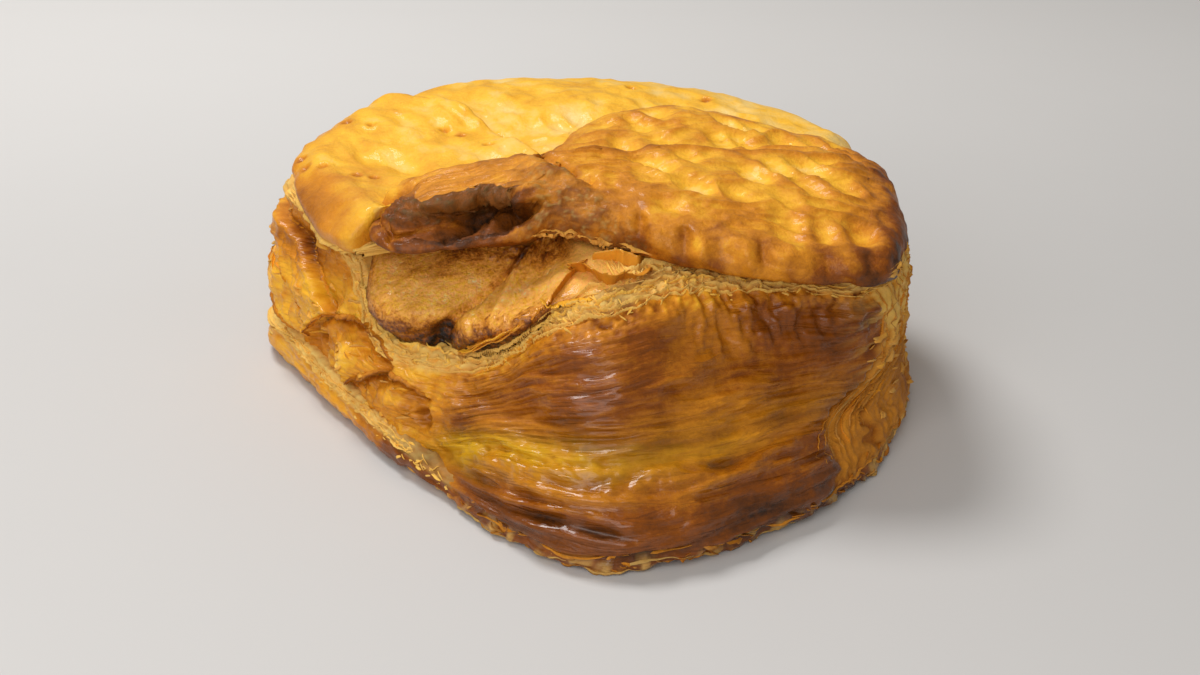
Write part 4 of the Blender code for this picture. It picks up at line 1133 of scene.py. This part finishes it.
def leaves(wall, angle, height, width, turn, thickness, across=4, root=1.2):
    """Thin leaves of dough that stand on a wall along lines of azimuth and height, arrays (leaf, along). From
    its root inside the wall a leaf runs outwards and bends by its turn in degrees, up where that is positive,
    and stays above the floor. Returns the grids and, on the same grid, the share of the way from the root to
    the tip."""
    base, outward = wall(angle, height)
    onward = np.gradient(base, axis=1)
    onward /= np.linalg.norm(onward, axis=-1)[..., None] + 1e-9
    upward = np.cross(outward, onward)
    share = np.linspace(0, 1, across)
    bend = (np.radians(turn)[..., None] * share + 0 * angle[..., None])[..., None]
    length = ((width + root)[..., None] * share)[..., None]
    out = length * np.sinc(bend / np.pi)
    rise = length * np.sin(bend / 2) * np.sinc(bend / 2 / np.pi)
    centre = base[..., None, :] + outward[..., None, :] * (out - root) + upward[..., None, :] * rise
    centre[..., 2] = np.maximum(centre[..., 2], thickness)
    facing = upward[..., None, :] * np.cos(bend) - outward[..., None, :] * np.sin(bend)
    thin = thickness * (1 - 0.7 * share ** 2) * np.ones(angle.shape)[..., None]
    tip = np.concatenate([share, share[::-1]])
    return sheets(centre, facing, thin), np.broadcast_to(tip, (len(angle), angle.shape[1] + 2, 2 * across))


def line_over(stations, lift):
    """A line around a wall that runs lift millimetres above the curve through the stations."""
    return lambda angle: around(angle, stations) + lift


def level(height):
    """A level line around a wall."""
    return lambda angle: height + 0 * angle


def stack(wall, reach, line, count, gap, width, seed, rows=420, turn=30, broken=0.3, left_gap=0.0):
    """Leaves on top of each other along one line of a wall. Each has its own waves, its own turn and a torn
    edge; broken is the share of its length where it is torn off, and left_gap widens the gaps on the left."""
    angle = np.broadcast_to(np.linspace(*reach, rows), (count, rows))
    own = np.arange(count)[:, None] * 3.7 + seed
    order = np.arange(count)[:, None] - (count - 1) / 2
    gaps = gap + left_gap * step(-angle, 10, 40)
    height = line(angle) + order * gaps + 0.45 * noise(angle / 4, own, 0.3)
    whole = noise(angle / 5, own, 7.7) + 0.4 * noise(angle / 1.6, own, 3.1)
    edge = 0.85 + 0.35 * noise(angle / 2.4, own, 4.4) + 0.20 * noise(angle / 0.9, own, 9.2)
    ends = step(np.minimum(angle - reach[0], reach[1] - angle), 0, 4)
    width = width * step(whole, 1.6 * broken - 1.0, 1.6 * broken - 0.3) * np.clip(edge, 0.1, 2) * ends
    turns = turn * noise(angle / 5, own, 1.9) * 1.5
    return leaves(wall, angle, height, width, turns, sizes().leaf_thickness / MM)


def scatter(wall, reach, line, spread, count, size, seed):
    """Small peeling flakes near one line of a wall: short wide leaves with a rounded outline that lie almost
    flat, each with its own place, size, slope and turn."""
    draw = np.random.default_rng(seed)
    share = np.linspace(-1, 1, 5)
    centre = draw.uniform(*reach, (count, 1))
    size = size * draw.uniform(0.4, 1.3, (count, 1))
    angle = centre + share * size * draw.uniform(0.5, 1.1, (count, 1))
    height = line(centre) + draw.normal(0, 1, (count, 1)) * spread
    height = height + share * size * draw.uniform(-0.5, 0.5, (count, 1))
    width = size * np.sqrt(1.05 - share ** 2) * draw.uniform(0.5, 0.9, (count, 5))
    turn = draw.uniform(45, 85, (count, 1)) * draw.choice([-1, 1], (count, 1))
    return leaves(wall, angle, height, 0.8 * width, turn, thickness=0.25, root=0.35)


def curls(wall, table, thickness, seed):
    """Curled strips of dough on a wall, each between two places, with a bow, a width that swells towards the
    middle, and a turn."""
    share = np.linspace(0, 1, 70)
    start, low, end, high, bow, width, turn = np.array(table, float).T[..., None]
    own = np.arange(len(table))[:, None] * 2.3 + seed
    angle = start + (end - start) * share
    height = low + (high - low) * share + bow * 4 * share * (1 - share) + 0.4 * noise(share * 5, own, 0.7)
    edge = 1 + 0.20 * noise(share * 5, own, 2.2) + 0.08 * noise(share * 20, own, 5.2)
    width = width * edge * (4 * share * (1 - share)) ** 0.4
    turn = turn + 20 * noise(share * 3, own, 8.1)
    return leaves(wall, angle, height, width, turn, thickness, across=9, root=1.0)


def leaf_marks(tip, bake, layer, seed, rim=0.0):
    """Marks of leaves: paler inside, browner at the torn tip and by rim at a curled one, each leaf a little
    different. The bake and the layer are numbers, or arrays with one number for each leaf."""
    draw = np.random.default_rng(seed)
    own = draw.normal(0, 0.05, (len(tip), 1, 1))
    speck = draw.normal(0, 0.03, tip.shape)
    bake = np.reshape(bake, (-1, 1, 1)) + own + speck + 0.08 * tip ** 2 + rim * tip ** 3
    return dough_marks(bake, np.reshape(layer, (-1, 1, 1)) + 2 * own, 0.15)


def joined(*groups):
    """Groups of grids and their tips of the same shape, one after the other."""
    return tuple(np.concatenate(part) for part in zip(*groups))


# Operators

FOLDS = {}


def build_fold(name, surface, material):
    """Makes one fold and keeps its wall for the leaves that stand on it."""
    smooth, grid, marks, rows = surface()
    place(closed_mesh(name, grid, marks), material)
    FOLDS[name] = Wall(smooth, grid, rows)


def build_leaves(name, grids_and_tips, bake, layer, seed, rim=0.0):
    """Makes one piece out of leaves, with dough of its own."""
    grids, tip = grids_and_tips
    place(closed_mesh(name, grids, leaf_marks(tip, bake, layer, seed, rim)), dough_material(name + "_dough"))


class PASTRY_OT_body(bpy.types.Operator):
    """Build the tall body of the parcel"""
    bl_idname = "pastry.body"
    bl_label = "Body"

    def execute(self, context):
        build_fold("body", body_surface, dough_material("glossy_wall", stretch=(1.6, 1.6, 0.9), streaks=2.2))
        return {"FINISHED"}


class PASTRY_OT_middle_fold(bpy.types.Operator):
    """Build the tucked middle fold with its two lobes"""
    bl_idname = "pastry.middle_fold"
    bl_label = "Middle fold"

    def execute(self, context):
        build_fold("middle_fold", middle_fold_surface,
                   dough_material("speckled_fold", grain_size=0.6, speckle=0.38, bump_depth=0.6, sparkle=1.0))
        return {"FINISHED"}


class PASTRY_OT_top_sheet(bpy.types.Operator):
    """Build the golden top sheet"""
    bl_idname = "pastry.top_sheet"
    bl_label = "Top sheet"

    def execute(self, context):
        build_fold("top_sheet", top_surface, dough_material("golden_sheet", speckle=0.09, bump_depth=0.35))
        return {"FINISHED"}


class PASTRY_OT_flap(bpy.types.Operator):
    """Build the dimpled flap with its mouth, burnt at the edge and painted dark as shade in its hollow"""
    bl_idname = "pastry.flap"
    bl_label = "Flap"

    def execute(self, context):
        build_fold("flap", flap_surface, dough_material("dimpled_flap", speckle=0.12, bump_depth=0.35))
        return {"FINISHED"}


class PASTRY_OT_base_tier(bpy.types.Operator):
    """Build the thin tier at the foot"""
    bl_idname = "pastry.base_tier"
    bl_label = "Base tier"

    def execute(self, context):
        build_fold("base_tier", tier_surface,
                   dough_material("tier_dough", stretch=(2.0, 2.0, 0.7), streaks=0.8))
        return {"FINISHED"}


class PASTRY_OT_ledge_leaves(bpy.types.Operator):
    """Build the layered seam of thin leaves along the body's ledge"""
    bl_idname = "pastry.ledge_leaves"
    bl_label = "Ledge leaves"

    def execute(self, context):
        build_leaves("ledge_leaves", joined(
            stack(FOLDS["body"], (-99, 80), line_over(LEDGE_HEIGHT, -0.9), count=5, gap=0.45, width=1.1,
                  seed=11, rows=640, left_gap=0.35),
            stack(FOLDS["middle_fold"], (-40, 8), line_over(LEDGE_HEIGHT, 1.0), count=3, gap=0.8, width=1.0,
                  seed=12, rows=640)),
            bake=0.32, layer=0.5, seed=1)
        return {"FINISHED"}


class PASTRY_OT_tier_leaves(bpy.types.Operator):
    """Build the layered seam of thin leaves along the base tier"""
    bl_idname = "pastry.tier_leaves"
    bl_label = "Tier leaves"

    def execute(self, context):
        build_leaves("tier_leaves",
                     stack(FOLDS["base_tier"], (-112, -38), line_over(TIER_HEIGHT, -0.7), count=3, gap=0.5,
                           width=0.9, seed=21, rows=520),
                     bake=0.32, layer=0.6, seed=2)
        return {"FINISHED"}


class PASTRY_OT_lip_leaves(bpy.types.Operator):
    """Build the fluffy leaves between the flap's lip and the ledge"""
    bl_idname = "pastry.lip_leaves"
    bl_label = "Lip leaves"

    def execute(self, context):
        def midway(angle):
            return (around(angle, LEDGE_HEIGHT) + around(angle, FLAP_LOWER_EDGE)) / 2

        build_leaves("lip_leaves",
                     stack(FOLDS["middle_fold"], (13, 92), midway, count=6, gap=0.55, width=1.9, seed=31),
                     bake=0.16, layer=0.8, seed=3)
        return {"FINISHED"}


class PASTRY_OT_oval_leaves(bpy.types.Operator):
    """Build the upright strands beyond the right end of the glossy wall"""
    bl_idname = "pastry.oval_leaves"
    bl_label = "Oval leaves"

    def execute(self, context):
        own = np.arange(9)[:, None]
        share = np.linspace(0, 1, 200)
        height = 9 + 28 * share + 0 * own
        angle = oval_edge(height) + 2.3 * own + 1.6 * noise(height / 7, own * 2.7, 4.1)
        width = 0.65 * np.clip(0.5 + noise(height / 3, own * 3.1, 2.2), 0.05, 2)
        width = width * (4 * share * (1 - share)) ** 0.3
        turn = 70 * noise(height / 5, own * 1.9, 1.9)
        build_leaves("oval_leaves",
                     leaves(FOLDS["body"], angle, height, width, turn, sizes().leaf_thickness / MM),
                     bake=0.52, layer=0.12, seed=4)
        return {"FINISHED"}


class PASTRY_OT_side_leaves(bpy.types.Operator):
    """Build the broken leaves on the right side and round the back"""
    bl_idname = "pastry.side_leaves"
    bl_label = "Side leaves"

    def execute(self, context):
        build_leaves("side_leaves",
                     stack(FOLDS["body"], (86, 262), level(22), count=14, gap=2.6, width=0.9, seed=51,
                           rows=560, turn=60, broken=0.55),
                     bake=0.42, layer=0.4, seed=5)
        return {"FINISHED"}


class PASTRY_OT_foot_leaves(bpy.types.Operator):
    """Build the crumpled leaves along the foot"""
    bl_idname = "pastry.foot_leaves"
    bl_label = "Foot leaves"

    def execute(self, context):
        def wavy(angle):
            return 2.6 + 0.6 * np.sin(angle / 9)

        build_leaves("foot_leaves",
                     stack(FOLDS["body"], (-34, 100), wavy, count=3, gap=1.1, width=0.55, seed=61, rows=480,
                           turn=60, broken=0.5),
                     bake=0.60, layer=0.3, seed=6)
        return {"FINISHED"}


class PASTRY_OT_left_rims(bpy.types.Operator):
    """Build the curled rims of the laps on the left face"""
    bl_idname = "pastry.left_rims"
    bl_label = "Left rims"

    def execute(self, context):
        share = np.linspace(0, 1, 90)
        own = np.arange(len(LAPS))[:, None] * 2.3
        stations = [lap[2] for lap in LAPS]
        angle = np.array([points[0][0] + (points[-1][0] - points[0][0]) * share for points in stations])
        height = np.array([along(row, points) for row, points in zip(angle, stations)])
        height = height + 0.5 + 0.5 * noise(share * 8, own, 0.7)
        width = 1.3 * (1 + 0.4 * noise(share * 7, own, 2.2) + 0.25 * noise(share * 24, own, 5.2))
        width = width * (4 * share * (1 - share)) ** 0.5
        turn = -55 + 50 * noise(share * 6, own, 8.1)
        build_leaves("left_rims",
                     leaves(FOLDS["body"], angle, height, width, turn, thickness=0.6, across=9, root=1.0),
                     bake=0.50, layer=0.0, seed=7, rim=0.14)
        return {"FINISHED"}


class PASTRY_OT_fringe(bpy.types.Operator):
    """Build the ragged fringes under the flap's lip, at its right end and under the top sheet's left edge"""
    bl_idname = "pastry.fringe"
    bl_label = "Fringe"

    def execute(self, context):
        build_leaves("fringe", joined(
            stack(FOLDS["flap"], (-19, 22), line_over(FLAP_LOWER_EDGE, 0.9), count=3, gap=0.5, width=1.1,
                  seed=71, rows=260, turn=60),
            stack(FOLDS["flap"], (60, 128), line_over(FLAP_LOWER_EDGE, 2.2), count=4, gap=1.2, width=0.8,
                  seed=72, rows=260, turn=50, broken=0.5),
            stack(FOLDS["top_sheet"], (-112, -56), line_over(TOP_LOWER_EDGE, 0.9), count=3, gap=0.6,
                  width=1.0, seed=73, rows=260, turn=50)),
            bake=np.repeat((0.48, 0.48, 0.30), (3, 4, 3)), layer=0.4, seed=8)
        return {"FINISHED"}


class PASTRY_OT_opening_skins(bpy.types.Operator):
    """Build the pale skins in the opening under the flap and the strips at the foot of the second lobe"""
    bl_idname = "pastry.opening_skins"
    bl_label = "Opening skins"

    def execute(self, context):
        fold = FOLDS["middle_fold"]
        grids, tip = joined(curls(fold, OPENING_CURLS, thickness=0.4, seed=81),
                            curls(fold, LOBE_STRIPS, thickness=0.5, seed=82))
        # The first skin lies in the shade under the flap's lip; its darker tone is partly its own colour and
        # partly painted shade
        tone = np.reshape((0.56, 0.50, 0.36, 0.44, 0.48, 0.36, 0.52), (-1, 1, 1))
        marks = leaf_marks(tip, 0.0, 0.0, 9)
        marks |= {"bake": tone + 0.05 * noise(*(part / 4 for part in split(grids))), "gloss": 0.4}
        place(closed_mesh("opening_skins", grids, marks), dough_material("pale_skin", speckle=0.04))
        return {"FINISHED"}


class PASTRY_OT_flakes(bpy.types.Operator):
    """Scatter small torn flakes along the flaky edges"""
    bl_idname = "pastry.flakes"
    bl_label = "Flakes"

    def execute(self, context):
        count = sizes().flake_count

        def halfway(angle):
            return 0.5 * (around(angle, LEDGE_HEIGHT) + 9)

        # Where each kind lies, its line, spread, count and size, and how baked and how dry it is
        kinds = (("body", (-99, 80), line_over(LEDGE_HEIGHT, -1.0), 0.7, 2 * count, 0.9, 0.28, 0.45),
                 ("middle_fold", (8, 90), line_over(LEDGE_HEIGHT, 1.4), 0.7, 2 * count, 1.0, 0.28, 0.50),
                 ("flap", (62, 125), line_over(FLAP_LOWER_EDGE, 2.0), 1.5, count // 2, 1.4, 0.46, 0.30),
                 ("base_tier", (-115, -26), line_over(TIER_HEIGHT, -1.2), 0.8, count, 0.9, 0.32, 0.50),
                 ("body", (-128, -40), halfway, 6.0, count // 2, 1.6, 0.42, 0.20),
                 ("body", (68, 262), level(22), 10.0, 2 * count, 1.8, 0.46, 0.25),
                 ("body", (-24, 100), level(2.6), 1.2, count, 1.1, 0.60, 0.05))
        groups = [scatter(FOLDS[kind[0]], *kind[1:6], seed) for seed, kind in enumerate(kinds, 91)]
        numbers = [len(tip) for grids, tip in groups]
        bake, layer = (np.repeat([kind[k] for kind in kinds], numbers) for k in (6, 7))
        build_leaves("flakes", joined(*groups), bake, layer, seed=10)
        return {"FINISHED"}


class PASTRY_OT_stage(bpy.types.Operator):
    """Set up the floor, the lights, the surroundings and the camera"""
    bl_idname = "pastry.stage"
    bl_label = "Stage"

    def execute(self, context):
        settings = context.scene.pastry_stage
        floor_material = Paint("pale_floor")
        tone = floor_material.grain(size=40.0, detail=2)
        place_back = floor_material.node("ShaderNodeSeparateXYZ", {}, {0: floor_material.spot()}, output="Y")
        # Painted light: the floor grows up to a fifth lighter towards the back, as a painted fall-off of the
        # light; the noise adds a faint mottle
        lift = (tone - 0.5) * 0.1 + place_back.between(20, 290)
        colour = floor_material.blend(lift.clamped(), tuple(settings.floor_colour),
                                      tuple(1.22 * part for part in settings.floor_colour))
        floor_material.finish({"Base Color": colour}, {"Roughness": 0.75})
        far = 2.0
        corners = np.array([(-far, -far, 0), (far, -far, 0), (far, far, 0), (-far, far, 0)])
        floor = mesh_object("floor", corners, np.array([[0, 1, 2, 3]]), np.zeros((0, 3), int), {})
        floor.data.materials.append(floor_material.material)
        self.make_light("key", (-0.24, 0.16, 0.60), radius=0.13, power=settings.key_power)
        self.make_light("fill", (-0.20, -0.62, 0.46), radius=0.36, power=settings.fill_power)
        world = bpy.data.worlds.new("soft_room")
        world.use_nodes = True
        background = world.node_tree.nodes["Background"]
        background.inputs["Color"].default_value = (1.0, 0.96, 0.90, 1.0)
        background.inputs["Strength"].default_value = 0.27
        context.scene.world = world
        context.scene.view_settings.view_transform = "Standard"
        self.make_camera(context, settings)
        return {"FINISHED"}

    @staticmethod
    def make_light(name, spot, radius, power):
        """A large soft ball of light, which leaves no edge on the floor."""
        data = bpy.data.lights.new(name, "POINT")
        data.shadow_soft_size = radius
        data.energy = power
        light = bpy.data.objects.new(name, data)
        light.location = spot
        bpy.context.scene.collection.objects.link(light)

    @staticmethod
    def make_camera(context, settings):
        """The camera looks along +Y and down at the aimed point, turned a little around its own axis."""
        aim = (np.array(CAMERA_AIM) - DESIGN_CENTRE) * MM
        rise, roll = settings.camera_elevation, settings.camera_roll
        forward = np.array((0, math.cos(rise), -math.sin(rise)))
        level_right = np.array((1.0, 0, 0))
        level_up = np.array((0, math.sin(rise), math.cos(rise)))
        right = math.cos(roll) * level_right + math.sin(roll) * level_up
        upward = math.cos(roll) * level_up - math.sin(roll) * level_right
        spot = aim - settings.camera_distance * forward
        data = bpy.data.cameras.new("camera")
        data.lens = settings.camera_lens
        data.sensor_width = 36
        camera = bpy.data.objects.new("camera", data)
        columns = np.stack([right, upward, -forward, spot], 1)
        camera.matrix_world = Matrix([*columns.tolist(), (0, 0, 0, 1)])
        context.scene.collection.objects.link(camera)
        context.scene.camera = camera


class PASTRY_PT_panel(bpy.types.Panel):
    """Lists the pastry's settings and pieces"""
    bl_idname = "PASTRY_PT_panel"
    bl_label = "Ham bougatsa"
    bl_space_type = "VIEW_3D"
    bl_region_type = "UI"
    bl_category = "Pastry"

    def draw(self, context):
        for group in (context.scene.pastry_sizes, context.scene.pastry_colours, context.scene.pastry_stage):
            box = self.layout.box()
            for name in group.__annotations__:
                box.prop(group, name)
        for operator in OPERATORS:
            self.layout.operator(operator.bl_idname)


OPERATORS = (PASTRY_OT_stage, PASTRY_OT_body, PASTRY_OT_middle_fold, PASTRY_OT_top_sheet, PASTRY_OT_flap,
             PASTRY_OT_base_tier, PASTRY_OT_ledge_leaves, PASTRY_OT_tier_leaves, PASTRY_OT_lip_leaves,
             PASTRY_OT_oval_leaves, PASTRY_OT_side_leaves, PASTRY_OT_foot_leaves, PASTRY_OT_left_rims,
             PASTRY_OT_fringe, PASTRY_OT_opening_skins, PASTRY_OT_flakes)
CLASSES = (PastrySizes, PastryColours, StageSettings, *OPERATORS, PASTRY_PT_panel)


def register():
    for kind in CLASSES:
        bpy.utils.register_class(kind)
    bpy.types.Scene.pastry_sizes = bpy.props.PointerProperty(type=PastrySizes)
    bpy.types.Scene.pastry_colours = bpy.props.PointerProperty(type=PastryColours)
    bpy.types.Scene.pastry_stage = bpy.props.PointerProperty(type=StageSettings)


def unregister():
    del bpy.types.Scene.pastry_stage
    del bpy.types.Scene.pastry_colours
    del bpy.types.Scene.pastry_sizes
    for kind in reversed(CLASSES):
        bpy.utils.unregister_class(kind)


def main():
    register()
    for operator in OPERATORS:
        group, name = operator.bl_idname.split(".")
        getattr(getattr(bpy.ops, group), name)()


if __name__ == "__main__":
    main()
